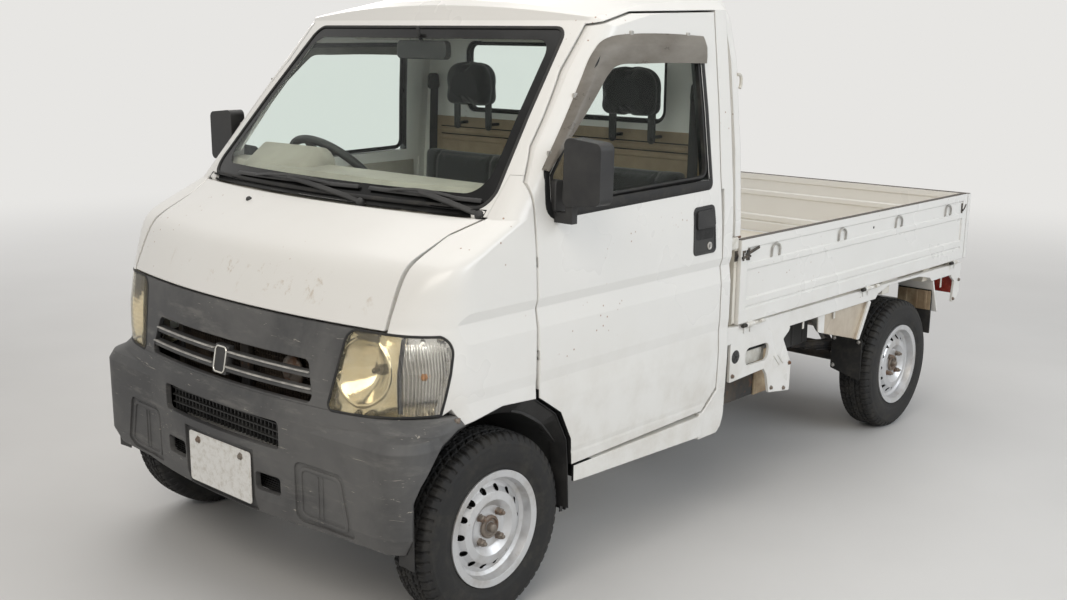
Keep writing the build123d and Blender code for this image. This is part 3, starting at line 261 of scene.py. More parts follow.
def white_paint():
    """Old white enamel: slight waves, grime low down, specks of rust, scuffs along the hood's nose, and painted
    shade round the front arch and the door window.
    """
    s = Shader("body_white", Specular_IOR_Level=0.5, Coat_Weight=0.35, Coat_Roughness=0.12)
    broad = s.noise(1.6, 4, 0.55)
    fine = s.noise(42, 3, 0.6)
    dust = s.math("MULTIPLY", s.span(broad, 0.35, 0.7), 0.35)
    low = s.span(s.axis("z"), 0.86, 0.33)
    grime = s.math("MULTIPLY", low, s.span(s.noise(7, 5, 0.62), 0.35, 0.75))
    base = s.mix(dust, (0.815, 0.8, 0.765), (0.745, 0.725, 0.675))
    base = s.mix(s.math("MULTIPLY", grime, 0.45), base, (0.5, 0.45, 0.37))
    across = s.noise(26, 5, 0.7, stretch=(1, 1, 0.6), distortion=0.4)
    nose = s.math("MULTIPLY", s.near((0.15, -1.585, 0.935), (0.75, 0.12, 0.065)), s.span(across, 0.57, 0.7))
    base = s.mix(s.math("MULTIPLY", nose, 0.55), base, (0.46, 0.36, 0.25))
    specks = s.math("MULTIPLY", s.span(s.cells(34), 0.13, 0.05), s.span(s.noise(3.1, 2), 0.56, 0.66))
    base = s.mix(s.math("MULTIPLY", specks, 0.8), base, (0.3, 0.13, 0.05))
    # Painted shade: faces turned away from the side, round the front wheel arch and in the door's window
    # opening, are painted near black.
    arch = s.math("MULTIPLY", s.math("LESS_THAN", s.reach(FRONT_AXLE, WHEEL_HEIGHT), 0.4),
                  s.math("GREATER_THAN", s.side(), 0.6))
    slope = s.math("SUBTRACT", s.math("MULTIPLY", s.axis("y"), 1.145), s.axis("z"))
    window = s.math("MULTIPLY", s.inside((0.6, -1.1, 1.128), (0.76, -0.318, 1.578)),
                    s.math("GREATER_THAN", slope, -2.502))
    edge = s.math("MULTIPLY", s.math("MAXIMUM", arch, window), s.span(s.tilt(), 0.55, 0.35))
    guard = s.inside((0.55, 0.5, 0.4), (0.716, 0.835, 0.585))
    streak = s.noise(16, 6, 0.7, stretch=(1, 1, 0.6))
    base = s.mix(s.math("MULTIPLY", guard, 0.85), base,
                 s.mix(s.span(streak, 0.3, 0.75), (0.52, 0.44, 0.33), (0.37, 0.28, 0.185)))
    base = s.mix(edge, base, (0.018, 0.018, 0.018))
    rough = s.math("ADD", s.span(broad, 0.3, 0.8, 0.26, 0.42), s.math("MULTIPLY", nose, 0.25))
    wave = s.math("ADD", s.math("MULTIPLY", fine, 0.15), s.noise(2.4, 2))
    s.set(Base_Color=base, Roughness=rough,
          Normal=s.bump(wave, 0.0012, 0.35, s.rounded(0.004)))
    return s.material


def bed_paint():
    """Bed steel: cream paint worn through along the ridges, with scratches and rust."""
    s = Shader("bed_paint")
    broad = s.noise(3.2, 5, 0.6)
    long_scratch = s.noise(30, 4, 0.7, stretch=(1, 0.06, 1))
    base = s.mix(s.span(broad, 0.35, 0.7), (0.74, 0.71, 0.64), (0.6, 0.53, 0.41))
    base = s.mix(s.math("MULTIPLY", s.span(long_scratch, 0.6, 0.68), 0.55), base, (0.33, 0.3, 0.26))
    patches = s.math("MULTIPLY", s.span(s.noise(11, 6, 0.72), 0.6, 0.72), s.span(broad, 0.4, 0.6))
    base = s.mix(s.math("MULTIPLY", patches, 0.85), base, (0.27, 0.12, 0.05))
    s.set(Base_Color=base, Roughness=s.span(broad, 0.3, 0.7, 0.42, 0.68),
          Normal=s.bump(s.noise(60, 4, 0.6), 0.0006, 0.3, s.rounded(0.004)))
    return s.material


def bumper_plastic():
    """Faded grey unpainted plastic: fine grain, chalky patches and pale scratches."""
    s = Shader("bumper_grey", Specular_IOR_Level=0.4)
    cloud = s.noise(3.4, 5, 0.62, distortion=0.5)
    streak = s.noise(16, 5, 0.7, stretch=(0.35, 0.35, 1.6))
    base = s.mix(s.span(cloud, 0.3, 0.7), (0.055, 0.055, 0.056), (0.125, 0.123, 0.12))
    base = s.mix(s.math("MULTIPLY", s.span(streak, 0.52, 0.74), 0.45), base, (0.22, 0.21, 0.195))
    scratch = s.noise(70, 3, 0.8, stretch=(0.1, 0.2, 1.0), distortion=1.6)
    base = s.mix(s.math("MULTIPLY", s.span(scratch, 0.655, 0.7), 0.8), base, (0.4, 0.37, 0.32))
    s.set(Base_Color=base, Roughness=s.span(cloud, 0.3, 0.7, 0.48, 0.66),
          Normal=s.bump(s.cells(900), 0.0003, 0.35, s.rounded(0.005)))
    return s.material


def dark_plastic(name, dark, pale, rough, grain=700):
    """Moulded plastic with a fine grain and a film of dust."""
    s = Shader(name, Specular_IOR_Level=0.45)
    cloud = s.noise(6, 5, 0.6)
    s.set(Base_Color=s.mix(s.span(cloud, 0.3, 0.75), dark, pale),
          Roughness=s.span(cloud, 0.3, 0.7, rough - 0.06, rough + 0.08),
          Normal=s.bump(s.cells(grain), 0.0004, 0.4, s.rounded(0.003)))
    return s.material


def chassis_paint():
    """Satin black steel with dried mud and rust."""
    s = Shader("frame_black")
    mud = s.span(s.noise(8, 6, 0.66), 0.42, 0.66)
    rust = s.span(s.noise(19, 5, 0.7), 0.57, 0.68)
    base = s.mix(s.math("MULTIPLY", mud, 0.7), (0.022, 0.022, 0.023), (0.13, 0.105, 0.08))
    base = s.mix(s.math("MULTIPLY", rust, 0.75), base, (0.17, 0.065, 0.025))
    s.set(Base_Color=base, Roughness=s.math("ADD", s.math("MULTIPLY", mud, 0.3), 0.45),
          Normal=s.bump(s.noise(90, 5, 0.7), 0.0012, 0.4, s.rounded(0.004)))
    return s.material


def clear_glass():
    """Window glass with a faint green tint and a thin film of dust."""
    s = Shader("clear_glass", Base_Color=(0.9, 0.955, 0.93), Transmission_Weight=1.0, IOR=1.12)
    film = s.span(s.noise(5, 5, 0.62, stretch=(1, 1, 0.5)), 0.35, 0.8, 0.0, 0.05)
    s.set(Roughness=film)
    return s.material


def lamp_lens():
    """Yellowed clear plastic with fine crazing, and painted shade in lines along the outer lens's flutes."""
    s = Shader("lamp_lens", Transmission_Weight=0.94, IOR=1.22, Specular_IOR_Level=0.6)
    haze = s.noise(14, 4, 0.6)
    tint = s.mix(s.span(haze, 0.3, 0.8), (0.985, 0.935, 0.79), (0.955, 0.865, 0.66))
    clear = s.mix(s.span(haze, 0.3, 0.8), (0.97, 0.97, 0.96), (0.9, 0.89, 0.86))
    outer = s.span(s.side(), 0.641, 0.645)
    bands = s.node("ShaderNodeTexWave", {"Vector": s.place, "Scale": 22.0, "Distortion": 0.0},
                   output=1, bands_direction="Z")
    flutes = s.node("ShaderNodeTexWave", {"Vector": s.place, "Scale": 47.0, "Distortion": 0.0},
                    output=1, bands_direction="Y")
    ridge = s.math("ADD", s.math("MULTIPLY", s.math("SUBTRACT", 1.0, outer), bands),
                   s.math("MULTIPLY", outer, flutes))
    # Painted shade: dark lines along the flutes of the outer lens, below their top.
    flute_shade = s.math("MULTIPLY", s.span(flutes, 0.55, 0.95), s.span(s.axis("z"), 0.822, 0.806))
    clear = s.mix(s.math("MULTIPLY", flute_shade, 0.75), clear, (0.34, 0.33, 0.31))
    s.set(Base_Color=s.mix(outer, tint, clear), Roughness=s.span(haze, 0.3, 0.8, 0.05, 0.16),
          Normal=s.bump(ridge, 0.0012, 0.3))
    return s.material


def tail_lens():
    """Moulded red plastic with small prisms."""
    s = Shader("tail_lens", Specular_IOR_Level=0.6, Coat_Weight=0.4, Coat_Roughness=0.15)
    haze = s.noise(30, 3)
    s.set(Base_Color=s.mix(s.span(haze, 0.3, 0.8), (0.3, 0.012, 0.008), (0.42, 0.05, 0.025)),
          Roughness=s.span(haze, 0.3, 0.7, 0.12, 0.3),
          Normal=s.bump(s.cells(220), 0.0012, 0.6, s.rounded(0.003)))
    return s.material


def seat_cloth():
    """Black woven cloth with grey flecks."""
    s = Shader("seat_cloth", Sheen_Weight=0.35, Sheen_Roughness=0.5)
    weave_a = s.node("ShaderNodeTexWave", {"Vector": s.place, "Scale": 260.0, "Distortion": 0.6},
                     output=1, bands_direction="X")
    weave_b = s.node("ShaderNodeTexWave", {"Vector": s.place, "Scale": 260.0, "Distortion": 0.6},
                     output=1, bands_direction="Z")
    weave = s.math("MULTIPLY", weave_a, weave_b)
    fleck = s.span(s.noise(420, 2, 0.7), 0.58, 0.7)
    base = s.mix(s.math("MULTIPLY", weave, 0.6), (0.012, 0.012, 0.013), (0.042, 0.042, 0.045))
    base = s.mix(s.math("MULTIPLY", fleck, 0.45), base, (0.12, 0.12, 0.125))
    s.set(Base_Color=base, Roughness=s.span(s.noise(9, 3), 0.3, 0.7, 0.82, 0.95),
          Normal=s.bump(weave, 0.0008, 0.5))
    return s.material


def plate_metal():
    """Painted plate: white with dirt specks and dulled paint."""
    s = Shader("plate_white", Coat_Weight=0.2, Coat_Roughness=0.3)
    dirt = s.noise(45, 5, 0.7)
    s.set(Base_Color=s.mix(s.span(dirt, 0.42, 0.75), (0.8, 0.79, 0.76), (0.58, 0.55, 0.49)),
          Roughness=s.span(dirt, 0.3, 0.7, 0.34, 0.55), Normal=s.bump(dirt, 0.0005, 0.2, s.rounded(0.001)))
    return s.material


def rubber(name, tone):
    """Weathered black rubber with dust in its pores."""
    s = Shader(name, Specular_IOR_Level=0.35)
    dust = s.noise(22, 6, 0.66)
    base = s.mix(s.span(dust, 0.4, 0.72), (tone, tone, tone * 1.02), (tone * 2.6, tone * 2.45, tone * 2.2))
    s.set(Base_Color=base, Roughness=s.span(dust, 0.3, 0.7, 0.62, 0.84),
          Normal=s.bump(s.noise(260, 4, 0.7), 0.0006, 0.4, s.rounded(0.002)))
    return s.material


def wheel_paint():
    """Silver painted steel with brake dust and rust specks, and painted shade on the walls of the wheel's
    holes.
    """
    s = Shader("wheel_silver", Metallic=0.6, Specular_IOR_Level=0.5)
    dust = s.noise(11, 6, 0.62)
    rust = s.span(s.noise(52, 5, 0.75), 0.65, 0.72)
    reach = s.math("MINIMUM", s.reach(FRONT_AXLE, WHEEL_HEIGHT), s.reach(REAR_AXLE, WHEEL_HEIGHT))
    base = s.mix(s.span(dust, 0.42, 0.8), (0.62, 0.625, 0.635), (0.42, 0.4, 0.375))
    base = s.mix(s.math("MULTIPLY", rust, 0.7), base, (0.22, 0.1, 0.045))
    # Painted shade: the walls of the holes, between 100 and 124 mm from the axle, are painted near black.
    ring = s.math("MULTIPLY", s.math("GREATER_THAN", reach, 0.1), s.math("LESS_THAN", reach, 0.124))
    base = s.mix(s.math("MULTIPLY", ring, s.span(s.tilt(), 0.4, 0.3)), base, (0.012, 0.012, 0.012))
    s.set(Base_Color=base, Roughness=s.span(dust, 0.3, 0.7, 0.28, 0.46),
          Normal=s.bump(s.noise(140, 4, 0.6), 0.0003, 0.3, s.rounded(0.002)))
    return s.material


def cast_metal(name, colour, rust_colour, metallic):
    """Bare cast or pressed metal, oily and rusted."""
    s = Shader(name, Metallic=metallic)
    cloud = s.noise(15, 6, 0.7)
    s.set(Base_Color=s.mix(s.span(cloud, 0.42, 0.66), colour, rust_colour),
          Roughness=s.span(cloud, 0.3, 0.7, 0.45, 0.75),
          Normal=s.bump(s.noise(110, 5, 0.7), 0.001, 0.5, s.rounded(0.004)))
    return s.material


def floor_finish():
    """Pale sealed concrete, nearly even, that runs out into the backdrop's colour."""
    s = Shader("studio_floor", Roughness=0.6)
    s.set(Base_Color=s.mix(s.span(s.noise(0.9, 5), 0.3, 0.7), (0.62, 0.61, 0.595), (0.66, 0.65, 0.635)))
    away = s.node("ShaderNodeVectorMath", {0: s.place}, output="Value", operation="LENGTH")
    path = s.nodes.new("ShaderNodeLightPath")
    seen = s.math("MAXIMUM", path.outputs["Is Camera Ray"], path.outputs["Is Glossy Ray"])
    seen = s.math("MAXIMUM", seen, path.outputs["Is Transmission Ray"])
    glow = s.nodes.new("ShaderNodeEmission")
    glow.inputs["Color"].default_value = BACKDROP
    blend = s.nodes.new("ShaderNodeMixShader")
    s.links.new(s.math("MULTIPLY", seen, s.span(away, 2.2, 9.0)), blend.inputs["Fac"])
    s.links.new(s.bsdf.outputs[0], blend.inputs[1])
    s.links.new(glow.outputs[0], blend.inputs[2])
    s.links.new(blend.outputs[0], s.nodes["Material Output"].inputs["Surface"])
    return s.material


# Shapes


class Form:
    """A mesh being put together from boxes, bars, turned profiles and sweeps."""

    def __init__(self):
        self.mesh = bmesh.new()

    def box(self, low, high, turn=None):
        """A box between two corners, turned about its middle."""
        corners = bmesh.ops.create_cube(self.mesh, size=1.0)["verts"]
        size = [b - a for a, b in zip(low, high)]
        middle = Vector([(a + b) / 2 for a, b in zip(low, high)])
        for corner in corners:
            place = Vector([c * s for c, s in zip(corner.co, size)])
            corner.co = middle + (turn @ place if turn else place)
        return self

    def rings(self, rings, closed=False, capped=True):
        """Faces between rings of points that all have the same count."""
        made = [[self.mesh.verts.new(point) for point in ring] for ring in rings]
        count = len(made[0])
        pairs = list(zip(made, made[1:]))
        if closed:
            pairs.append((made[-1], made[0]))
        for first, second in pairs:
            for i in range(count):
                j = (i + 1) % count
                self.mesh.faces.new((first[i], first[j], second[j], second[i]))
        if capped and not closed:
            self.mesh.faces.new(made[0][::-1])
            self.mesh.faces.new(made[-1])
        return self

    def sweep(self, path, section, ups=None, closed=False):
        """A section of (across, up) points carried along a path, kept upright to ups."""
        path = [Vector(point) for point in path]
        count = len(path)
        rings = []
        up = None
        for i, point in enumerate(path):
            before = path[i - 1] if i or closed else point
            after = path[(i + 1) % count] if i < count - 1 or closed else point
            ahead = (after - before).normalized()
            if ups:
                up = Vector(ups[i])
            elif up is None:
                up = Vector((0, 0, 1)) if abs(ahead.z) < 0.9 else Vector((0, 1, 0))
            across = ahead.cross(up).normalized()
            up = across.cross(ahead).normalized()
            rings.append([point + across * a + up * b for a, b in section])
        return self.rings(rings, closed)

    def bar(self, path, radius, sides=10, closed=False):
        """A round bar along a path."""
        section = [(radius * math.cos(2 * math.pi * k / sides), radius * math.sin(2 * math.pi * k / sides))
                   for k in range(sides)]
        return self.sweep(path, section, closed=closed)

    def turned(self, profile, centre, axis, steps=40):
        """A profile of (along, radius) points turned round an axis; ends off the axis stay open."""
        centre = Vector(centre)
        axis = Vector(axis).normalized()
        side = axis.orthogonal().normalized()
        other = axis.cross(side)
        made = []
        for along, radius in profile:
            ring = []
            for k in range(steps):
                angle = 2 * math.pi * k / steps
                ring.append(self.mesh.verts.new(centre + axis * along
                                                + (side * math.cos(angle) + other * math.sin(angle)) * radius))
            made.append(ring)
        for first, second in zip(made, made[1:]):
            for k in range(steps):
                j = (k + 1) % steps
                self.mesh.faces.new((first[k], first[j], second[j], second[k]))
        for ring, (along, radius) in ((made[0], profile[0]), (made[-1], profile[-1])):
            if radius < 1e-6:
                bmesh.ops.pointmerge(self.mesh, verts=ring, merge_co=ring[0].co)
        return self

    def prism(self, outline, low, high, place):
        """A flat outline carried between two depths; place(u, v, depth) gives each point."""
        return self.rings([[place(u, v, low) for u, v in outline], [place(u, v, high) for u, v in outline]])

    def finish(self, name, finish, body, edge=0.0, smooth=40, steps=2):
        """The object made of this mesh, with rounded edges and its material, riding on a body."""
        bmesh.ops.recalc_face_normals(self.mesh, faces=self.mesh.faces)
        data = bpy.data.meshes.new(name)
        self.mesh.to_mesh(data)
        self.mesh.free()
        data.materials.append(finishes[finish])
        piece = linked(name, data)
        if edge:
            bevel = piece.modifiers.new("edges", "BEVEL")
            bevel.width = edge
            bevel.segments = steps
            bevel.limit_method = "ANGLE"
            bevel.angle_limit = math.radians(32)
        shaded(data, smooth)
        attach(piece, body)
        return piece


def along_x(y, z, x):
    """A point for Form.prism, with its depth across the truck."""
    return Vector((x, y, z))


def along_y(x, z, y):
    """A point for Form.prism, with its depth along the truck."""
    return Vector((x, y, z))


def along_z(x, y, z):
    """A point for Form.prism, with its depth upwards."""
    return Vector((x, y, z))


def between(first, second):
    """The low and high corners of a box between two points."""
    return [tuple(pick(a, b) for a, b in zip(first, second)) for pick in (min, max)]


def rounded_outline(points, radii, steps=5):
    """An outline whose corners are rounded by the given radius, or by one for each corner."""
    if isinstance(radii, (int, float)):
        radii = [radii] * len(points)
    outline = []
    for i, (point, radius) in enumerate(zip(points, radii)):
        point = Vector(point)
        if not radius:
            outline.append(tuple(point))
            continue
        back = (Vector(points[i - 1]) - point).normalized()
        ahead = (Vector(points[(i + 1) % len(points)]) - point).normalized()
        half = math.acos(max(-1, min(1, back.dot(ahead)))) / 2
        reach = radius / math.tan(half)
        centre = point + (back + ahead).normalized() * (radius / math.sin(half))
        start = point + back * reach - centre
        end = point + ahead * reach - centre
        turn = math.atan2(start.x * end.y - start.y * end.x, start.dot(end))
        for k in range(steps + 1):
            angle = turn * k / steps
            outline.append((centre.x + start.x * math.cos(angle) - start.y * math.sin(angle),
                            centre.y + start.x * math.sin(angle) + start.y * math.cos(angle)))
    return outline


def smooth_path(points, steps=6):
    """Points on a smooth curve through the given ones."""
    points = [Vector(point) for point in points]
    ends = [points[0] * 2 - points[1], *points, points[-1] * 2 - points[-2]]
    path = []
    for a, b, c, d in zip(ends, ends[1:], ends[2:], ends[3:]):
        for k in range(steps):
            t = k / steps
            path.append(0.5 * (2 * b + (c - a) * t + (2 * a - 5 * b + 4 * c - d) * t ** 2
                               + (3 * b - a - 3 * c + d) * t ** 3))
    path.append(points[-1])
    return path


def surface(*names):
    """A search tree over the faces of CAD nodes."""
    corners = []
    faces = []
    for name in names:
        mesh = nodes[name].data
        start = len(corners)
        corners += [vertex.co.copy() for vertex in mesh.vertices]
        faces += [[start + i for i in face.vertices] for face in mesh.polygons]
    return BVHTree.FromPolygons(corners, faces)


def on_front(tree, x, z, out=0.0):
    """The point of a surface seen from the front at (x, z), and its normal."""
    hit, normal, _, _ = tree.ray_cast(Vector((x, -3, z)), Vector((0, 1, 0)))
    if hit is None or hit.y > -0.75:
        near, normal, _, _ = tree.find_nearest(Vector((x, -1.5, z)))
        hit = Vector((x, near.y, z))
    if normal.y > 0:
        normal = -normal
    return hit + normal * out, normal


def on_side(tree, side, y, z, out=0.0):
    """The point of a surface seen from one side at (y, z), and its normal."""
    hit, normal, _, _ = tree.ray_cast(Vector((side * 3, y, z)), Vector((-side, 0, 0)))
    if hit is None or hit.x * side < 0.66 or abs(normal.x) < 0.3:
        near, _, _, _ = tree.find_nearest(Vector((side * 0.76, y, z)))
        hit = Vector((near.x, y, z))
        normal = Vector((side, 0, 0))
    if normal.x * side < 0:
        normal = -normal
    return hit + normal * out, normal


def trim_on_front(form, tree, outline, section, out=0.0, step=0.03):
    """A section carried round an outline of (x, z) points, on a surface seen from the front."""
    path, ups = zip(*[on_front(tree, x, z, out) for x, z in walked(outline, step)])
    return form.sweep(path, section, ups, closed=True)


def trim_on_side(form, tree, side, outline, section, out=0.0, step=0.03, closed=True):
    """A section carried round an outline of (y, z) points, on a surface seen from one side."""
    path, ups = zip(*[on_side(tree, side, y, z, out) for y, z in walked(outline, step, closed)])
    return form.sweep(path, section, ups, closed=closed)


def band(outer, inner, step, rises, seen):
    """Rings of a band between two outlines; rises gives its height at each share of the way in."""
    rings = []
    for i, (start, far) in enumerate(zip(outer, inner)):
        start, after = Vector(start), Vector(outer[(i + 1) % len(outer)])
        far, far_after = Vector(far), Vector(inner[(i + 1) % len(outer)])
        pieces = max(1, math.ceil((after - start).length / step))
        for k in range(pieces):
            edge = start.lerp(after, k / pieces)
            inside = far.lerp(far_after, k / pieces)
            found = [(*seen(*edge.lerp(inside, t)), rise) for t, rise in rises]
            rings.append([point + normal * rise for point, normal, rise in found]
                         + [point + normal * 0.0001 for point, normal, _ in reversed(found)])
    return rings


def walked(outline, step, closed=True):
    """The outline with points added, so that none is further than step from the next."""
    path = []
    ends = zip(outline, outline[1:] + outline[:1]) if closed else zip(outline, outline[1:])
    for start, end in ends:
        start = Vector(start)
        end = Vector(end)
        count = max(1, math.ceil((end - start).length / step))
        path += [tuple(start.lerp(end, k / count)) for k in range(count)]
    if not closed:
        path.append(tuple(outline[-1]))
    return path


# Tyres

WHEELS = {
    "front_left": (HALF_TRACK, FRONT_AXLE),
    "front_right": (-HALF_TRACK, FRONT_AXLE),
    "rear_left": (HALF_TRACK, REAR_AXLE),
    "rear_right": (-HALF_TRACK, REAR_AXLE),
}
PITCHES = 56
STEPS_PER_PITCH = 8

# Across the tread: distance from the middle, radius of the block tops, and how far the blocks'
# pattern is shifted there, in steps round the tyre.
TREAD = [
    (0.0, 0.27, 0),
    (0.005, 0.27, 1),
    (0.01, 0.2699, 2),
    (0.0115, 0.2625, 2),
    (0.0155, 0.2625, 3),
    (0.017, 0.2698, 3),
    (0.023, 0.2697, 4),
    (0.029, 0.2695, 6),
    (0.0305, 0.262, 6),
    (0.035, 0.2618, 6),
    (0.0365, 0.269, 6),
    (0.043, 0.2682, 6),
    (0.05, 0.2668, 6),
    (0.056, 0.2645, 6),
    (0.06, 0.26, 6),
    (0.0635, 0.254, 6),
]
GROOVE_DEPTH = 0.0065
SIDEWALL = [
    (0.0668, 0.248),
    (0.0695, 0.242),
    (0.0705, 0.2395),
    (0.0702, 0.238),
    (0.072, 0.228),
    (0.0728, 0.218),
    (0.0722, 0.207),
    (0.0706, 0.196),
    (0.0695, 0.189),
    (0.068, 0.187),
    (0.0668, 0.18),
    (0.065, 0.174),
    (0.0642, 0.169),
    (0.06, 0.1655),
    (0.057, 0.16),
    (0.056, 0.153),
]


def tyre_mesh():
    """An all-terrain tyre about the X axis: staggered blocks, shoulder lugs and stepped sidewalls."""
    half = [(across, radius, shift, True) for across, radius, shift in TREAD]
    half += [(across, radius, 0, False) for across, radius in SIDEWALL]
    columns = [(-across, radius, shift + 4, tread) for across, radius, shift, tread in reversed(half[1:])]
    columns += half
    steps = PITCHES * STEPS_PER_PITCH
    mesh = bmesh.new()
    made = []
    for step in range(steps):
        angle = 2 * math.pi * step / steps
        ring = []
        for across, radius, shift, tread in columns:
            phase = (step + shift) % STEPS_PER_PITCH
            place = abs(across)
            if tread and phase < 2 and radius > 0.2635 and not 0.0 < place < 0.006:
                radius -= GROOVE_DEPTH
            elif tread and 0.058 < place and phase < 2:
                radius -= 0.006
            elif tread and phase == 5 and 0.0155 < place < 0.052 and radius > 0.2635:
                radius -= 0.0022
            ring.append(mesh.verts.new((across, radius * math.sin(angle), radius * math.cos(angle))))
        made.append(ring)
    for first, second in zip(made, made[1:] + made[:1]):
        for i in range(len(columns) - 1):
            mesh.faces.new((first[i], first[i + 1], second[i + 1], second[i]))
    bmesh.ops.recalc_face_normals(mesh, faces=mesh.faces)
    data = bpy.data.meshes.new("tyre")
    mesh.to_mesh(data)
    mesh.free()
    shaded(data, 28)
    data.materials.append(finishes["tyre"])
    return data


def make_tyres():
    """One tyre mesh, set on each wheel in place of its plain tyre."""
    data = tyre_mesh()
    for name, (x, y) in WHEELS.items():
        tyre = linked(f"tread_{name}", data)
        tyre.location = (x, y, WHEEL_HEIGHT)
        if x < 0:
            tyre.rotation_euler = (0, 0, math.pi)
        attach(tyre, f"wheel_{name}")
        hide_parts(f"tyre_{name}")


def make_wheel_details():
    """Wheel nuts on their studs, the hub's end and plate, and the valve of each wheel."""
    for name, (x, y) in WHEELS.items():
        side = 1 if x > 0 else -1
        axis = (side, 0, 0)
        nuts = Form()
        for k in range(4):
            angle = math.pi / 4 + k * math.pi / 2
            place = Vector((x, y + 0.05 * math.cos(angle), WHEEL_HEIGHT + 0.05 * math.sin(angle)))
            nuts.turned([(0.034, 0.0125), (0.04, 0.0125), (0.041, 0.0105), (0.056, 0.0105), (0.058, 0.0085),
                         (0.058, 0.0062)], place, axis, steps=6)
            nuts.turned([(0.05, 0.006), (0.064, 0.006), (0.066, 0.0045), (0.066, 0.0)], place, axis, steps=12)
            nuts.turned([(0.03, 0.017), (0.0375, 0.0155), (0.0385, 0.012)], place, axis, steps=20)
        nuts.finish(f"wheel_nuts_{name}", "rusty_steel", f"wheel_{name}", smooth=30)
        hub = Form()
        hub.turned([(0.03, 0.033), (0.046, 0.033), (0.049, 0.03), (0.049, 0.026), (0.044, 0.024),
                    (0.044, 0.014), (0.052, 0.013), (0.06, 0.011), (0.062, 0.008), (0.062, 0.0)],
                   (x, y, WHEEL_HEIGHT), axis, steps=36)
        hub.finish(f"hub_end_{name}", "rusty_steel", f"wheel_{name}", smooth=35)
        plate = Form()
        plate.turned([(0.0335, 0.068), (0.036, 0.066), (0.0365, 0.06), (0.0395, 0.056), (0.04, 0.034)],
                     (x, y, WHEEL_HEIGHT), axis, steps=56)
        plate.finish(f"hub_plate_{name}", "wheel_silver", f"wheel_{name}", smooth=35)
        valve = Form()
        foot = Vector((x + side * 0.04, y + 0.138 * math.cos(2.4), WHEEL_HEIGHT + 0.138 * math.sin(2.4)))
        inward = (Vector((0, y, WHEEL_HEIGHT)) - Vector((0, foot.y, foot.z))).normalized()
        tip = foot + Vector(axis) * 0.028 + inward * 0.006
        valve.turned([(0.0, 0.0075), (0.008, 0.006), (0.016, 0.0042), (0.026, 0.004), (0.03, 0.0028),
                      (0.03, 0.0)], foot, tip - foot, steps=14)
        valve.finish(f"valve_{name}", "black_rubber", f"wheel_{name}", smooth=35)


# Cab front

def loop_of_border(mesh):
    """The longest open edge loop of a bmesh sheet, as points and the sheet's normals there."""
    edges = [edge for edge in mesh.edges if len(edge.link_faces) == 1]
    follow = {}
    for edge in edges:
        for vertex in edge.verts:
            follow.setdefault(vertex, []).append(edge)
    loops = []
    left = set(edges)
    while left:
        edge = min(left, key=lambda e: e.index)
        left.remove(edge)
        start, here = edge.verts
        loop = [start, here]
        while here != start:
            edge = next((e for e in follow[here] if e in left), None)
            if edge is None:
                break
            left.remove(edge)
            here = edge.other_vert(here)
            loop.append(here)
        loops.append(loop[:-1])
    loop = max(loops, key=len)
    return [v.co.copy() for v in loop], [v.normal.copy() for v in loop]


LAMP_PIVOT = (0.54, -1.44)
LAMP_MIDDLE = (0.54, 0.745)
LAMP_DIVIDER = 0.643


def lamp_depth(x, z, turn):
    """How far the mirror of a lamp lies behind its lens: a ringed bowl, and flutes beyond the divider."""
    if x > LAMP_DIVIDER:
        flutes = 0.0015 * math.cos(turn * 132) * min(1.0, max(0.0, (0.825 - z) / 0.012))
        return 0.017 + flutes + 1.6 * (z - 0.745) ** 2
    reach = math.hypot(x - LAMP_MIDDLE[0], z - LAMP_MIDDLE[1])
    if reach < 0.08:
        return 0.012 + 0.056 * (1 - (reach / 0.08) ** 2)
    if reach < 0.09:
        return 0.012 - 0.005 * math.sin(math.pi * (reach - 0.08) / 0.01)
    return 0.012 + 0.3 * (reach - 0.09)


def lamp_mirror(tree, side):
    """The mirror behind a lens, found by rays cast at it from all round an upright line inside the lamp."""
    form = Form()
    turns = [-36 + 0.9 * k for k in range(72)] + [28.8 + 0.4 * k for k in range(140)]
    made = {}
    for i, degrees in enumerate(turns):
        turn = math.radians(degrees)
        outward = Vector((side * math.sin(turn), -math.cos(turn), 0))
        for j in range(92):
            start = Vector((side * LAMP_PIVOT[0], LAMP_PIVOT[1], 0.634 + 0.0025 * j)) + outward * 0.4
            place, _, _, _ = tree.ray_cast(start, -outward)
            if place is None or (place - start).length > 0.34:
                place, _, _, _ = tree.find_nearest(start - outward * 0.235)
                off = start - place
                if (off - outward * off.dot(outward)).length > 0.008:
                    continue
            depth = lamp_depth(place.x * side, place.z, turn)
            made[i, j] = form.mesh.verts.new(place - outward * depth)
    for i, j in made:
        corners = [(i, j), (i + 1, j), (i + 1, j + 1), (i, j + 1)]
        if all(corner in made for corner in corners):
            form.mesh.faces.new([made[corner] for corner in corners])
    return form


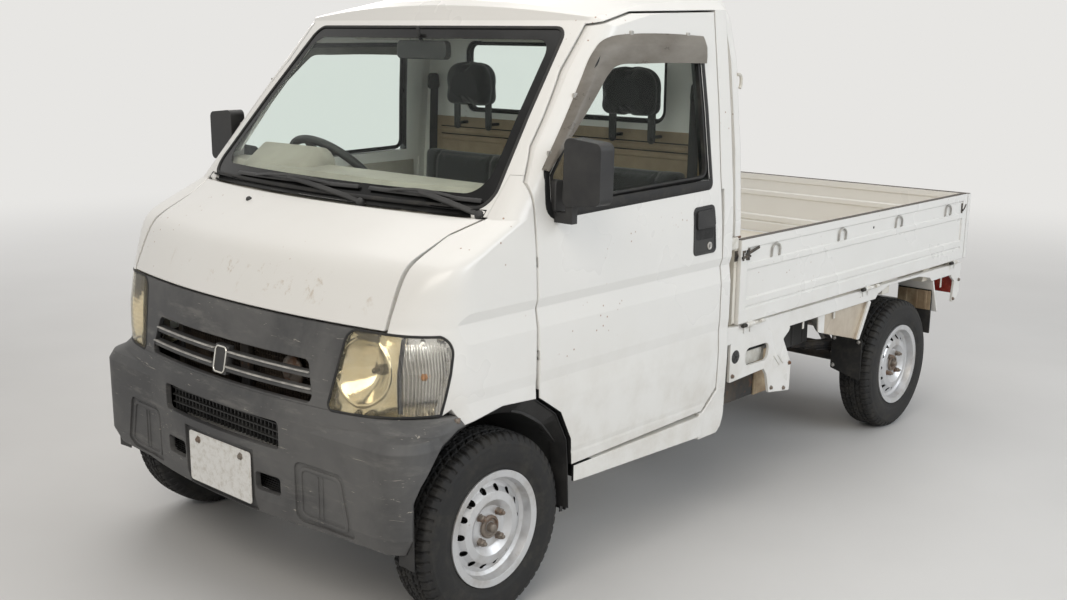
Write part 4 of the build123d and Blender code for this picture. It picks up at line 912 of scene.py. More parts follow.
def make_headlamps():
    """Each lamp as a thin lens over its mirror, with the housing, seal, bulbs and divider."""
    source = nodes["headlamps"].data
    tree = surface("headlamps")
    for side, name in SIDES:
        lens = Form()
        sides = Form()
        made = {}
        for face in source.polygons:
            if face.center.x * side < 0:
                continue
            normal = face.normal
            outer = (-normal.y > 0.35 or normal.x * side > 0.35) and abs(normal.z) < 0.6
            back = (normal.y > 0.35 or normal.x * side < -0.35) and abs(normal.z) < 0.6
            if back and face.center.x * side > 0.45:
                continue
            form = lens if outer else sides
            corners = []
            for index in face.vertices:
                if (outer, index) not in made:
                    made[outer, index] = form.mesh.verts.new(source.vertices[index].co)
                corners.append(made[outer, index])
            form.mesh.faces.new(corners)
        for form in (lens, sides):
            bmesh.ops.remove_doubles(form.mesh, verts=form.mesh.verts, dist=0.00005)
            form.mesh.normal_update()
            form.mesh.verts.index_update()
            form.mesh.edges.index_update()
        points, normals = loop_of_border(lens.mesh)
        seal = Form()
        section = [(-0.0034, -0.004), (0.003, -0.004), (0.0034, 0.0004), (0.002, 0.0012), (-0.002, 0.0012),
                   (-0.0038, 0.0002)]
        seal.sweep(points, section, normals, closed=True)
        seal.finish(f"lamp_seal_{name}", "black_rubber", "chassis", smooth=50)
        data = bpy.data.meshes.new(f"lamp_lens_{name}")
        lens.mesh.to_mesh(data)
        lens.mesh.free()
        data.materials.append(finishes["lamp_lens"])
        shaded(data, 30)
        cover = linked(f"lamp_lens_{name}", data)
        shell = cover.modifiers.new("thickness", "SOLIDIFY")
        shell.thickness = 0.003
        shell.offset = -1
        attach(cover, "chassis")
        housing = sides.finish(f"lamp_housing_{name}", "lamp_silver", "chassis", smooth=30)
        if side > 0:
            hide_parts("headlamps")
        lamp_mirror(tree, side).finish(f"lamp_mirror_{name}", "chrome", "chassis", smooth=60)
        bulb = Form()
        bulb.turned([(0.0, 0.012), (0.012, 0.012), (0.014, 0.007), (0.026, 0.007), (0.031, 0.0058),
                     (0.034, 0.003), (0.035, 0.0)], (side * 0.541, -1.538, 0.742), (side * 0.12, -1, 0),
                    steps=20)
        bulb.finish(f"bulb_{name}", "bulb_tip", "chassis", smooth=40)
        amber = Form()
        amber.turned([(-0.004, 0.009), (0.002, 0.0105), (0.008, 0.0085), (0.011, 0.004), (0.0115, 0.0)],
                     (side * 0.68, -1.515, 0.744), (side * 0.62, -0.78, 0.0), steps=24)
        amber.finish(f"side_bulb_{name}", "amber", "chassis", smooth=50)
        wall = Form()
        rings = []
        for k in range(21):
            start = Vector((side * LAMP_DIVIDER, -3, 0.65 + 0.0096 * k))
            place, _, _, _ = tree.ray_cast(start, Vector((0, 1, 0)))
            if place is not None:
                rings.append([place + Vector((side * across, back, 0))
                              for across, back in ((-0.0014, 0.0036), (0.0014, 0.0036), (0.0018, 0.0165),
                                                   (-0.0018, 0.0165))])
        wall.rings(rings)
        wall.finish(f"lamp_wall_{name}", "black_plastic", "chassis")


def make_grille_parts():
    """What stands behind the grille's slot, and the trim on its bars and boss."""
    tree = surface("front_grille")
    core = Form()
    for k in range(58):
        x = -0.345 + k * 0.69 / 57
        core.box((x - 0.0008, -1.566, 0.52), (x + 0.0008, -1.548, 0.8))
    for k in range(15):
        z = 0.53 + k * 0.019
        core.box((-0.35, -1.562, z - 0.0016), (0.35, -1.55, z + 0.0016))
    core.finish("radiator_core", "radiator", "chassis", smooth=20)
    frame_bars = Form()
    for z in (0.512, 0.806):
        frame_bars.box((-0.372, -1.572, z - 0.012), (0.372, -1.535, z + 0.012))
    for x in (-0.362, 0.362):
        frame_bars.box((x - 0.012, -1.572, 0.5), (x + 0.012, -1.535, 0.818))
    frame_bars.box((-0.02, -1.59, 0.505), (0.02, -1.572, 0.812))
    frame_bars.finish("radiator_frame", "frame_black", "chassis", edge=0.003)
    Form().box((-0.372, -1.537, 0.5), (0.372, -1.53, 0.818)).finish(
            "radiator_back", "black_plastic", "chassis", edge=0.002)
    horn = Form()
    horn.turned([(0.0, 0.012), (0.004, 0.04), (0.01, 0.045), (0.016, 0.044), (0.022, 0.036), (0.03, 0.018),
                 (0.036, 0.016), (0.036, 0.0)], (0.235, -1.582, 0.69), (0, -1, 0), steps=40)
    horn.finish("horn", "rusty_steel", "chassis", smooth=35)
    for number, height in enumerate((0.672, 0.714), 1):
        lip = Form()
        half = 0.383 if number == 1 else 0.37
        for low, high in ((-half, -0.034), (0.034, half)):
            path = [on_front(tree, low + (high - low) * k / 14, height)[0] + Vector((0, -0.0006, 0))
                    for k in range(15)]
            section = [(-0.001, 0.005), (-0.0045, 0.0058), (-0.0045, 0.0078), (0.004, 0.0086), (0.006, 0.007),
                       (0.006, 0.005)]
            lip.sweep(path, section, [Vector((0, 0, 1))] * 15)
        lip.finish(f"bar_lip_{number}", "worn_grey", "chassis", smooth=40)
    boss = Form()
    outline = rounded_outline([(-0.026, 0.657), (0.026, 0.657), (0.026, 0.729), (-0.026, 0.729)], 0.013, 6)
    round_section = [(0.003 * math.cos(a), 0.0026 * math.sin(a)) for a in [math.pi * k / 4 for k in range(8)]]
    trim_on_front(boss, tree, outline, round_section, out=0.002, step=0.02)
    boss.finish("boss_rim", "chrome", "chassis", smooth=60)
    face = Form()
    rings = []
    for level in (0.0003, 0.0016):
        rings.append([on_front(tree, x, z)[0] + Vector((0, -level, 0)) for x, z in outline])
    face.rings(rings)
    face.finish("boss_face", "black_plastic", "chassis", edge=0.0004, steps=1)


def make_bumper_parts():
    """Rims and ribs of the bumper's side pockets, fins in its slot, and the plate's rim and bolts."""
    tree = surface("front_bumper")
    for side, name in SIDES:
        pocket = [(side * 0.352, 0.318), (side * 0.536, 0.318), (side * 0.503, 0.458), (side * 0.352, 0.458)]
        outline = rounded_outline(pocket, 0.022, 6)
        rim = Form()
        section = [(-0.006, -0.002), (-0.005, 0.0028), (0.0, 0.0042), (0.005, 0.0028), (0.006, -0.002)]
        trim_on_front(rim, tree, outline, section, step=0.02)
        rim.finish(f"pocket_rim_{name}", "bumper_grey", "chassis", smooth=50)
        groove = Form()
        for x in (0.42, 0.437):
            path, ups = zip(*[on_front(tree, side * x, 0.33 + 0.116 * k / 11) for k in range(12)])
            groove.sweep(path, [(-0.004, -0.002), (-0.0028, 0.0026), (0.0028, 0.0026), (0.004, -0.002)], ups)
        groove.finish(f"pocket_rib_{name}", "bumper_grey", "chassis", smooth=50)
    fins = Form()
    for k in range(31):
        x = -0.27 + k * 0.018
        fins.box((x - 0.0022, -1.655, 0.486), (x + 0.0022, -1.625, 0.578))
    for z in (0.51, 0.532, 0.554):
        fins.box((-0.276, -1.662, z - 0.0022), (0.276, -1.64, z + 0.0022))
    fins.box((-0.285, -1.626, 0.48), (0.285, -1.618, 0.584))
    fins.finish("bumper_fins", "black_plastic", "chassis", edge=0.0006, steps=1)
    low_back = Form()
    low_back.box((-0.3, -1.64, 0.34), (0.3, -1.63, 0.43))
    for k in range(12):
        low_back.box((-0.3, -1.648, 0.35 + k * 0.007), (0.3, -1.64, 0.3525 + k * 0.007))
    low_back.finish("bumper_low_back", "black_plastic", "chassis", edge=0.0006, steps=1)
    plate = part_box("number_plate")
    rim = Form()
    front = plate[0][1]
    outline = rounded_outline([(-0.149, 0.3065), (0.149, 0.3065), (0.149, 0.4515), (-0.149, 0.4515)], 0.008, 5)
    path = [Vector((x, front + 0.0002, z)) for x, z in outline]
    rim.sweep(path, [(-0.0022, -0.0004), (-0.0012, 0.0009), (0.0012, 0.0009), (0.0022, -0.0004)],
              [Vector((0, -1, 0))] * len(path), closed=True)
    rim.finish("plate_rim", "plate_white", "chassis", smooth=60)
    bolts = Form()
    for x in (-0.105, 0.105):
        bolts.turned([(-0.001, 0.0115), (0.0012, 0.0115), (0.002, 0.0105), (0.0022, 0.0075), (0.007, 0.007),
                      (0.0078, 0.0058), (0.0078, 0.0)], (x, front, 0.434), (0, -1, 0), steps=6)
    bolts.finish("plate_bolts", "rusty_steel", "chassis", smooth=30)


def make_windscreen_parts():
    """The black border, its moulding, both wipers, the cowl strip, washer jets and the inner mirror."""
    tree = surface("windscreen")
    corners = [(-0.646, 1.142), (0.646, 1.142), (0.563, 1.618), (-0.563, 1.618)]
    outer = rounded_outline(corners, 0.044, 8)
    inner_corners = [(-0.604, 1.176), (0.604, 1.176), (0.533, 1.585), (-0.533, 1.585)]
    inner = rounded_outline(inner_corners, 0.055, 8)
    border = Form()
    rises = [(t, 0.0005) for t in (0.0, 0.25, 0.5, 0.75, 1.0)]
    border.rings(band(outer, inner, 0.04, rises, lambda x, z: on_front(tree, x, z)), closed=True)
    border.finish("screen_border", "gloss_black", "chassis", smooth=50)
    moulding = Form()
    trim_on_front(moulding, tree, outer,
                  [(-0.005, -0.0005), (-0.005, 0.0036), (0.0, 0.0052), (0.0045, 0.004), (0.007, 0.0006),
                   (0.007, -0.0005)], step=0.03)
    moulding.finish("screen_moulding", "black_rubber", "chassis", smooth=50)
    wipers = Form()
    for start, end, pivot in (((-0.45, 1.152), (0.172, 1.162), (0.2, 1.128)),
                              ((0.215, 1.162), (0.612, 1.158), (0.622, 1.128))):
        path = []
        ups = []
        for k in range(17):
            x = start[0] + (end[0] - start[0]) * k / 16
            z = start[1] + (end[1] - start[1]) * k / 16
            point, normal = on_front(tree, x, z)
            path.append(point + normal * 0.0004)
            ups.append(normal)
        wipers.sweep(path,
                     [(-0.0016, 0.0), (0.0016, 0.0), (0.0026, 0.0045), (0.0068, 0.005), (0.0068, 0.0085),
                      (0.003, 0.0098), (-0.003, 0.0098), (-0.0068, 0.0085), (-0.0068, 0.005),
                      (-0.0026, 0.0045)], ups)
        bow = [path[k] + ups[k] * (0.009 + 0.009 * math.sin(math.pi * (k - 3) / 10))
               + Vector((0, 0, 0.006 * math.sin(math.pi * (k - 3) / 10))) for k in range(3, 14)]
        wipers.sweep(bow, [(-0.005, -0.0016), (0.005, -0.0016), (0.0042, 0.002), (-0.0042, 0.002)], ups[3:14])
        middle = path[8] + ups[8] * 0.017
        foot_y = on_front(tree, pivot[0] if abs(pivot[0]) < 0.6 else 0.6, 1.146)[0].y - 0.01
        foot = Vector((pivot[0], foot_y, pivot[1]))
        tip = middle + ups[8] * 0.004
        arm = smooth_path([foot, foot.lerp(tip, 0.25) + Vector((0, -0.004, 0.004)),
                           foot.lerp(tip, 0.7) + Vector((0, -0.002, 0.003)), tip], 5)
        wipers.sweep(arm, [(-0.0085, -0.002), (0.0085, -0.002), (0.0065, 0.004), (-0.0065, 0.004)],
                     [Vector((0, -0.72, 0.69))] * len(arm))
        for t in (0.28, 0.5, 0.72):
            place = path[int(t * 16)] + ups[int(t * 16)] * 0.0078
            wipers.box(place - Vector((0.012, 0.004, 0.003)), place + Vector((0.012, 0.003, 0.005)))
        wipers.turned([(-0.012, 0.014), (0.002, 0.014), (0.007, 0.011), (0.009, 0.006), (0.0095, 0.0)], foot,
                      (0, -0.72, 0.69), steps=24)
    pair = wipers.finish("wiper_pair", "black_plastic", "chassis", edge=0.0008, smooth=35, steps=1)
    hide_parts("wipers")
    cab = surface("cab_shell")
    cowl = Form()
    rings = []
    for k in range(65):
        x = -0.64 + 0.02 * k
        top = [on_front(cab, x, z, 0.0014)[0] for z in (1.1205, 1.126, 1.132, 1.138, 1.1415)]
        under = [on_front(cab, x, z, 0.0001)[0] for z in (1.1205, 1.126, 1.132, 1.138, 1.1415)]
        rings.append(top + under[::-1])
    cowl.rings(rings)
    cowl.finish("cowl_strip", "satin_black", "chassis", smooth=50)
    point, normal = on_front(surface("hood"), -0.255, 1.097)
    jets = Form()
    jets.turned([(-0.001, 0.0095), (0.002, 0.0095), (0.0045, 0.0075), (0.0075, 0.006), (0.0085, 0.0)], point,
                normal, steps=20)
    jets.finish("washer_jets", "black_plastic", "hood", smooth=40)
    mirror = Form()
    mirror.prism(rounded_outline([(-0.115, 1.52), (0.115, 1.52), (0.112, 1.578), (-0.112, 1.578)], 0.018, 5),
                 -0.893, -0.868, along_y)
    mirror.bar(smooth_path([(0, -0.885, 1.572), (0, -0.9, 1.595), (0, -0.905, 1.622)], 4), 0.006, 12)
    mirror.finish("inner_mirror", "black_plastic", "chassis", edge=0.003)
    face = Form()
    face.prism(rounded_outline([(-0.109, 1.526), (0.109, 1.526), (0.106, 1.572), (-0.106, 1.572)], 0.014, 5),
               -0.868, -0.8672, along_y)
    face.finish("inner_mirror_face", "mirror_glass", "chassis", smooth=30)


# Doors

WINDOW_ROUND = (0.05, 0.03, 0.06, 0.045, 0.03, 0.03)


def make_door_parts():
    """Window channels, belt trim, handle and lock, visor, mirror glass and the inner panel of each door."""
    for side, name in SIDES:
        body = f"door_{name}"
        glass = surface(f"door_glass_{name}")
        skin = surface(f"door_{name}")
        inset = [(-1.083, 1.147), (-1.083, 1.228), (-0.897, 1.444), (-0.797, 1.555), (-0.368, 1.559),
                 (-0.347, 1.167)]
        outline = rounded_outline(inset, WINDOW_ROUND, 5)
        channel = Form()
        section = [(-0.0065, -0.001), (-0.0065, 0.0125), (-0.003, 0.0142), (0.0, 0.0135), (0.0025, 0.009),
                   (0.008, 0.003), (0.009, -0.001)]
        trim_on_side(channel, glass, side, outline, [(a * turn_of(outline), b) for a, b in section], step=0.04)
        channel.finish(f"window_channel_{name}", "black_rubber", body, smooth=45)
        sash = Form()
        outer = rounded_outline([(-1.116, 1.108), (-1.112, 1.238), (-0.912, 1.47), (-0.808, 1.588),
                                 (-0.342, 1.592), (-0.318, 1.128)], (0.045, 0.03, 0.06, 0.045, 0.03, 0.024), 5)
        inner = rounded_outline([(-1.092, 1.139), (-1.092, 1.231), (-0.901, 1.452), (-0.801, 1.564),
                                 (-0.361, 1.568), (-0.339, 1.159)], (0.028, 0.03, 0.06, 0.045, 0.02, 0.012), 5)
        rises = ((0.0, 0.0004), (0.12, 0.0016), (0.5, 0.0019), (0.9, 0.0019))
        sash.rings(band(outer, inner, 0.05, rises, lambda y, z: on_side(skin, side, y, z)), closed=True)
        sash.finish(f"window_surround_{name}", "satin_black", body, smooth=40)
        belt = Form()
        path, ups = zip(*[on_side(skin, side, -1.085 + 0.738 * k / 18, 1.131 + 0.014 * k / 18)
                          for k in range(19)])
        belt.sweep(path,
                   [(-0.014, 0.0), (-0.013, 0.0055), (-0.004, 0.007), (0.006, 0.0065), (0.012, 0.004),
                    (0.014, 0.0)], ups)
        belt.finish(f"belt_trim_{name}", "black_rubber", body, smooth=40)
        plate = Form()
        corners = [(-0.421, 0.929), (-0.304, 0.929), (-0.318, 1.077), (-0.423, 1.074)]
        outline = rounded_outline(corners, 0.013, 5)
        trim_on_side(plate, skin, side, outline,
                     [(-0.004, -0.001), (-0.004, 0.0022), (-0.001, 0.0036), (0.003, 0.003), (0.0045, -0.001)],
                     step=0.03)
        plate.finish(f"handle_rim_{name}", "black_plastic", body, smooth=50)
        sheet = Form()
        sheet.prism(rounded_outline([(-0.42, 0.931), (-0.306, 0.931), (-0.32, 1.075), (-0.421, 1.072)], 0.011,
                                    5), side * 0.729, side * 0.7386, along_x)
        cup = rounded_outline([(-0.412, 0.974), (-0.318, 0.974), (-0.32, 1.012), (-0.414, 1.012)], 0.01, 5)
        sheet.finish(f"handle_plate_{name}", "black_plastic", body, edge=0.0012)
        Form().prism(cup, side * 0.7387, side * 0.739, along_x).finish(f"handle_well_{name}", "shadow", body)
        paddle = Form()
        paddle.rings([[Vector((side * (0.7384 + lift), y, z))
                       for y, z in rounded_outline([(-0.413, low), (-0.314, low), (-0.324, 1.068),
                                                    (-0.415, 1.066)], 0.008, 4)]
                      for lift, low in ((0.0, 1.01), (0.0052, 1.008), (0.007, 1.014))])
        paddle.finish(f"handle_paddle_{name}", "black_plastic", body, edge=0.001)
        lock = Form()
        lock.turned([(0.0, 0.0125), (0.0018, 0.0125), (0.0026, 0.0112), (0.0026, 0.0095), (0.001, 0.0088),
                     (0.001, 0.0)], (side * 0.7387, -0.338, 0.95), (side, 0, 0), steps=28)
        lock.finish(f"door_lock_{name}", "bright_steel", body, smooth=35)
        slit = Form()
        slit.box((side * 0.7397 - 0.0004, -0.3395, 0.944), (side * 0.7397 + 0.0006, -0.3365, 0.956))
        slit.finish(f"key_slit_{name}", "shadow", body)
        visor = Form()
        rail = [(-1.112, 1.245), (-1.015, 1.362), (-0.93, 1.468), (-0.865, 1.548), (-0.805, 1.592),
                (-0.7, 1.604), (-0.52, 1.606), (-0.34, 1.6)]
        drop = [(0.006, -0.004), (0.028, -0.022), (0.046, -0.038), (0.052, -0.054), (0.036, -0.074),
                (0.012, -0.084), (0.0, -0.085), (-0.002, -0.082)]
        inner_edge = [(y + dy, z + dz) for (y, z), (dy, dz) in zip(rail, drop)]
        edge = [Vector((y, z, 0)) for y, z in rail]
        lower = [Vector((y, z, 0)) for y, z in inner_edge]
        edge = smooth_path(edge, 5)
        lower = smooth_path(lower, 5)
        rings = []
        for far, near in zip(edge, lower):
            base, normal = on_side(skin, side, far.x, far.y)
            ring = []
            for t, lift in ((0.0, 0.0026), (0.1, 0.0085), (0.36, 0.018), (0.42, 0.0195), (0.75, 0.0215),
                            (1.0, 0.021)):
                place = far.lerp(near, t)
                ring.append(Vector((base.x + side * lift, place.x, place.y)) if t else base + normal * lift)
            ring += [point - Vector((side * 0.0022, 0, 0)) for point in reversed(ring)]
            rings.append(ring)
        visor.rings(rings)
        visor.finish(f"door_visor_{name}", "smoke", body, smooth=50)
        clips = Form()
        for y, z in ((-1.078, 1.286), (-0.955, 1.436), (-0.7, 1.606), (-0.42, 1.603)):
            point, normal = on_side(skin, side, y, z, 0.001)
            clips.box(point + Vector((-0.0035, -0.008, -0.007)), point + Vector((0.0035, 0.008, 0.007)))
        clips.finish(f"visor_clips_{name}", "worn_grey", body, edge=0.002)
        mirror_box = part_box(f"door_mirror_{name}")
        lens = Form()
        x_low, x_high = sorted((side * 0.775, side * 0.884))
        corners = [(x_low, 1.162), (x_high, 1.168), (x_high, 1.318), (x_low, 1.322)]
        if side < 0:
            corners = [(x_low, 1.168), (x_high, 1.162), (x_high, 1.322), (x_low, 1.318)]
        lens.prism(rounded_outline(corners, 0.016, 5), mirror_box[1][1] + 0.0001, mirror_box[1][1] + 0.0012,
                   along_y)
        lens.finish(f"mirror_glass_{name}", "mirror_glass", body, smooth=30)
        base = Form()
        base.rings([[Vector((side * x, y, z))
                     for y, z in rounded_outline([(-1.09, 1.128), (-0.985, 1.134), (-1.01, 1.205),
                                                  (-1.089, 1.222)], 0.014, 4)]
                    for x in (0.722, 0.7375, 0.7425)])
        base.finish(f"mirror_base_{name}", "black_plastic", body, edge=0.003)
        lining = Form()
        lining.prism([(-1.095, 0.66), (-0.3, 0.48), (-0.3, 1.118), (-1.085, 1.108)], side * 0.6905,
                     side * 0.698, along_x)
        lining.box(*between((side * 0.645, -0.86, 0.905), (side * 0.6905, -0.43, 0.95)))
        lining.finish(f"door_lining_{name}", "dash_plastic", body, edge=0.006)
        crank = Form()
        crank.turned([(0.0, 0.024), (0.01, 0.022), (0.016, 0.012), (0.016, 0.0)], (side * 0.6905, -0.72, 0.855),
                     (-side, 0, 0), steps=28)
        crank.bar([(side * 0.676, -0.72, 0.855), (side * 0.668, -0.69, 0.82), (side * 0.664, -0.66, 0.79)],
                  0.006, 12)
        crank.turned([(0.0, 0.008), (0.004, 0.011), (0.026, 0.01), (0.03, 0.005), (0.03, 0.0)],
                     (side * 0.664, -0.66, 0.79), (-side, 0, 0), steps=20)
        crank.finish(f"window_crank_{name}", "black_plastic", body, smooth=40)


def turn_of(outline):
    """1 where an outline goes round one way and -1 where it goes the other."""
    area = sum(a[0] * b[1] - b[0] * a[1] for a, b in zip(outline, outline[1:] + outline[:1]))
    return 1 if area > 0 else -1


# Bed

HOOK_Y = (0.076, 0.544, 1.005, 1.465)
STRIP_SECTION = [(-0.0125, -0.003), (-0.0125, 0.0006), (-0.01, 0.0016), (0.01, 0.0016),
                 (0.0125, 0.0006), (0.0125, -0.003)]


def make_gate_parts():
    """Rope hooks, top strips, latches and hinges of the drop sides."""
    for side, name in SIDES:
        body = f"gate_{name}"
        hooks = Form()
        for y in HOOK_Y:
            x = side * GATE_FACE
            path = [(x - side * 0.002, y - 0.026, 0.865), (x + side * 0.0045, y - 0.026, 0.868),
                    (x + side * 0.0055, y - 0.026, 0.889)]
            for k in range(1, 10):
                angle = math.pi * (1 - k / 10)
                path.append((x + side * 0.0055, y + 0.026 * math.cos(angle), 0.889 + 0.02 * math.sin(angle)))
            path += [(x + side * 0.0055, y + 0.026, 0.889), (x + side * 0.0045, y + 0.026, 0.868),
                     (x - side * 0.002, y + 0.026, 0.865)]
            hooks.bar(path, 0.0036, 10)
        hooks.finish(f"rope_hooks_{name}", "worn_grey", body, smooth=60)
        strip = Form()
        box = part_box(f"side_gate_{name}")
        strip.sweep([(side * 0.7215, box[0][1] + 0.002 + (box[1][1] - box[0][1] - 0.004) * k / 24, box[1][2])
                     for k in range(25)], STRIP_SECTION)
        strip.finish(f"gate_strip_{name}", "gate_strip", body, smooth=40)
        hole = Form()
        hole.turned([(0.0, 0.005), (0.0006, 0.005), (0.0006, 0.0)], (side * 0.7304, 0.798, 0.886), (side, 0, 0),
                    steps=16)
        hole.finish(f"gate_hole_{name}", "shadow", body)
        latch = Form()
        x = side * GATE_FACE
        latch.box(*between((x, -0.1405, 0.871), (x + side * 0.003, -0.086, 0.911)))
        latch.box(*between((x, -0.136, 0.874), (x + side * 0.0085, -0.129, 0.908)))
        latch.box(*between((x, -0.113, 0.874), (x + side * 0.0085, -0.106, 0.908)))
        latch.bar([(x + side * 0.0065, -0.1405, 0.884), (x + side * 0.0065, -0.09, 0.886)], 0.0042, 12)
        latch.sweep(smooth_path([(x + side * 0.0065, -0.12, 0.892), (x + side * 0.0075, -0.085, 0.9),
                                 (x + side * 0.007, -0.036, 0.911)], 5),
                    [(-0.005, -0.0016), (0.005, -0.0016), (0.005, 0.0016), (-0.005, 0.0016)],
                    [Vector((side, 0, 0))] * 11)
        for y, z in ((-0.097, 0.879), (-0.097, 0.903), (-0.122, 0.904)):
            latch.turned([(0.0, 0.0045), (0.0035, 0.0045), (0.005, 0.003), (0.0052, 0.0)],
                         (x + side * 0.0025, y, z), (side, 0, 0), steps=14)
        latch.finish(f"front_latch_{name}", "latch_black", body, edge=0.0006, smooth=40, steps=1)
        keeper = Form()
        keeper.box(*between((side * 0.7225, -0.1655, 0.874), (side * 0.7265, -0.1505, 0.909)))
        keeper.bar([(side * 0.7275, -0.158, 0.88), (side * 0.7285, -0.153, 0.892),
                    (side * 0.7275, -0.158, 0.904)], 0.003, 10)
        keeper.finish(f"latch_keeper_{name}", "latch_black", "chassis", edge=0.0006, steps=1)
        barrels = Form()
        ends = Form()
        for y in HINGES:
            if y < 1.5:
                for low, high in ((-0.018, 0.026), (0.0275, 0.072)):
                    barrels.turned([(low + 0.04, 0.0), (low + 0.04, 0.0058), (low + 0.041, 0.0066),
                                    (high + 0.019, 0.0066), (high + 0.02, 0.0058), (high + 0.02, 0.0)],
                                   (side * HINGE_X, y, HINGE_HEIGHT), (0, 1, 0), steps=20)
            ends.turned([(-0.046, 0.0), (-0.046, 0.0062), (-0.045, 0.0068), (-0.024, 0.0068), (-0.023, 0.0)],
                        (side * HINGE_X, y, HINGE_HEIGHT), (0, 1, 0), steps=20)
        barrels.finish(f"hinge_barrels_{name}", "bed_white", "chassis", smooth=50)
        ends.finish(f"hinge_ends_{name}", "black_rubber", "chassis", smooth=50)
        rear_latch = Form()
        rear_latch.box(*between((x, 1.606, 0.862), (x + side * 0.0035, 1.646, 0.905)))
        rear_latch.bar([(x + side * 0.004, 1.612, 0.872), (x + side * 0.0045, 1.63, 0.884),
                        (x + side * 0.0045, 1.642, 0.898)], 0.004, 12)
        rear_latch.finish(f"rear_latch_{name}", "latch_black", body, edge=0.0008, smooth=40)
        inner = Form()
        inner.box(*between((side * 0.7075, -0.135, 0.8435), (side * 0.7063, 1.64, 0.856)))
        inner.finish(f"gate_inner_line_{name}", "gate_strip", body, edge=0.0004, steps=1)
        sleeves = Form()
        for y in HINGES:
            sleeves.turned([(-0.0135, 0.0083), (-0.013, 0.0086), (0.013, 0.0086), (0.0135, 0.0083)],
                           (side * HINGE_X, y, HINGE_HEIGHT), (0, 1, 0), steps=24)
        sleeves.finish(f"hinge_sleeves_{name}", "bed_white", body, smooth=50)


def make_tailgate_parts():
    """The tailgate's hooks, top strip and latches."""
    tail = Form()
    for x in (-0.44, 0.44):
        y = 1.6885
        path = [(x - 0.031, y - 0.001, 0.862), (x - 0.031, y + 0.0045, 0.868), (x - 0.028, y + 0.005, 0.882)]
        for k in range(1, 8):
            angle = math.pi * (1 - k / 8)
            path.append((x + 0.027 * math.cos(angle), y + 0.005, 0.882 + 0.008 * math.sin(angle)))
        path += [(x + 0.028, y + 0.005, 0.882), (x + 0.031, y + 0.0045, 0.868), (x + 0.031, y - 0.001, 0.862)]
        tail.bar([(a, b - 0.006, c) for a, b, c in path], 0.0038, 10)
    tail.finish("tail_hooks", "bed_white", "tailgate", smooth=60)
    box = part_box("tailgate")
    strip = Form()
    strip.sweep([(box[0][0] + 0.002 + (box[1][0] - box[0][0] - 0.004) * k / 20, 1.6745, box[1][2])
                 for k in range(21)], STRIP_SECTION)
    strip.finish("tail_strip", "gate_strip", "tailgate", smooth=40)
    handles = Form()
    for x in (-0.69, 0.69):
        handles.box((x - 0.02, 1.683, 0.862), (x + 0.02, 1.6872, 0.905))
        handles.bar([(x - 0.014, 1.6875, 0.872), (x, 1.689, 0.884), (x + 0.012, 1.6885, 0.897)], 0.004, 12)
    handles.finish("tail_latches", "latch_black", "tailgate", edge=0.0008, smooth=40)


def make_deck_parts():
    """Pressed ribs of the deck and the front board, and the dark strip on the board."""
    ribs = Form()
    for k in range(11):
        x = -0.6 + k * 0.12
        ribs.sweep([(x, -0.125 + 1.755 * n / 30, 0.6548) for n in range(31)],
                   [(-0.03, -0.001), (-0.022, 0.003), (-0.014, 0.004), (0.014, 0.004), (0.022, 0.003),
                    (0.03, -0.001)])
    ribs.finish("deck_ribs", "bed_paint", "chassis", smooth=60)
    board = Form()
    for z in (0.735, 0.835):
        board.sweep([(-0.66 + 1.32 * n / 20, -0.1502, z) for n in range(21)],
                    [(-0.022, -0.001), (-0.014, 0.003), (0.014, 0.003), (0.022, -0.001)],
                    [Vector((0, 1, 0))] * 21)
    board.finish("board_ribs", "bed_paint", "chassis", smooth=60)
    cap = Form()
    cap.sweep([(-0.7 + 1.4 * n / 20, -0.158, 0.952) for n in range(21)],
              [(-0.0085, -0.003), (-0.0085, 0.0008), (-0.006, 0.0018), (0.006, 0.0018), (0.0085, 0.0008),
               (0.0085, -0.003)])
    cap.finish("board_strip", "gate_strip", "chassis", smooth=40)


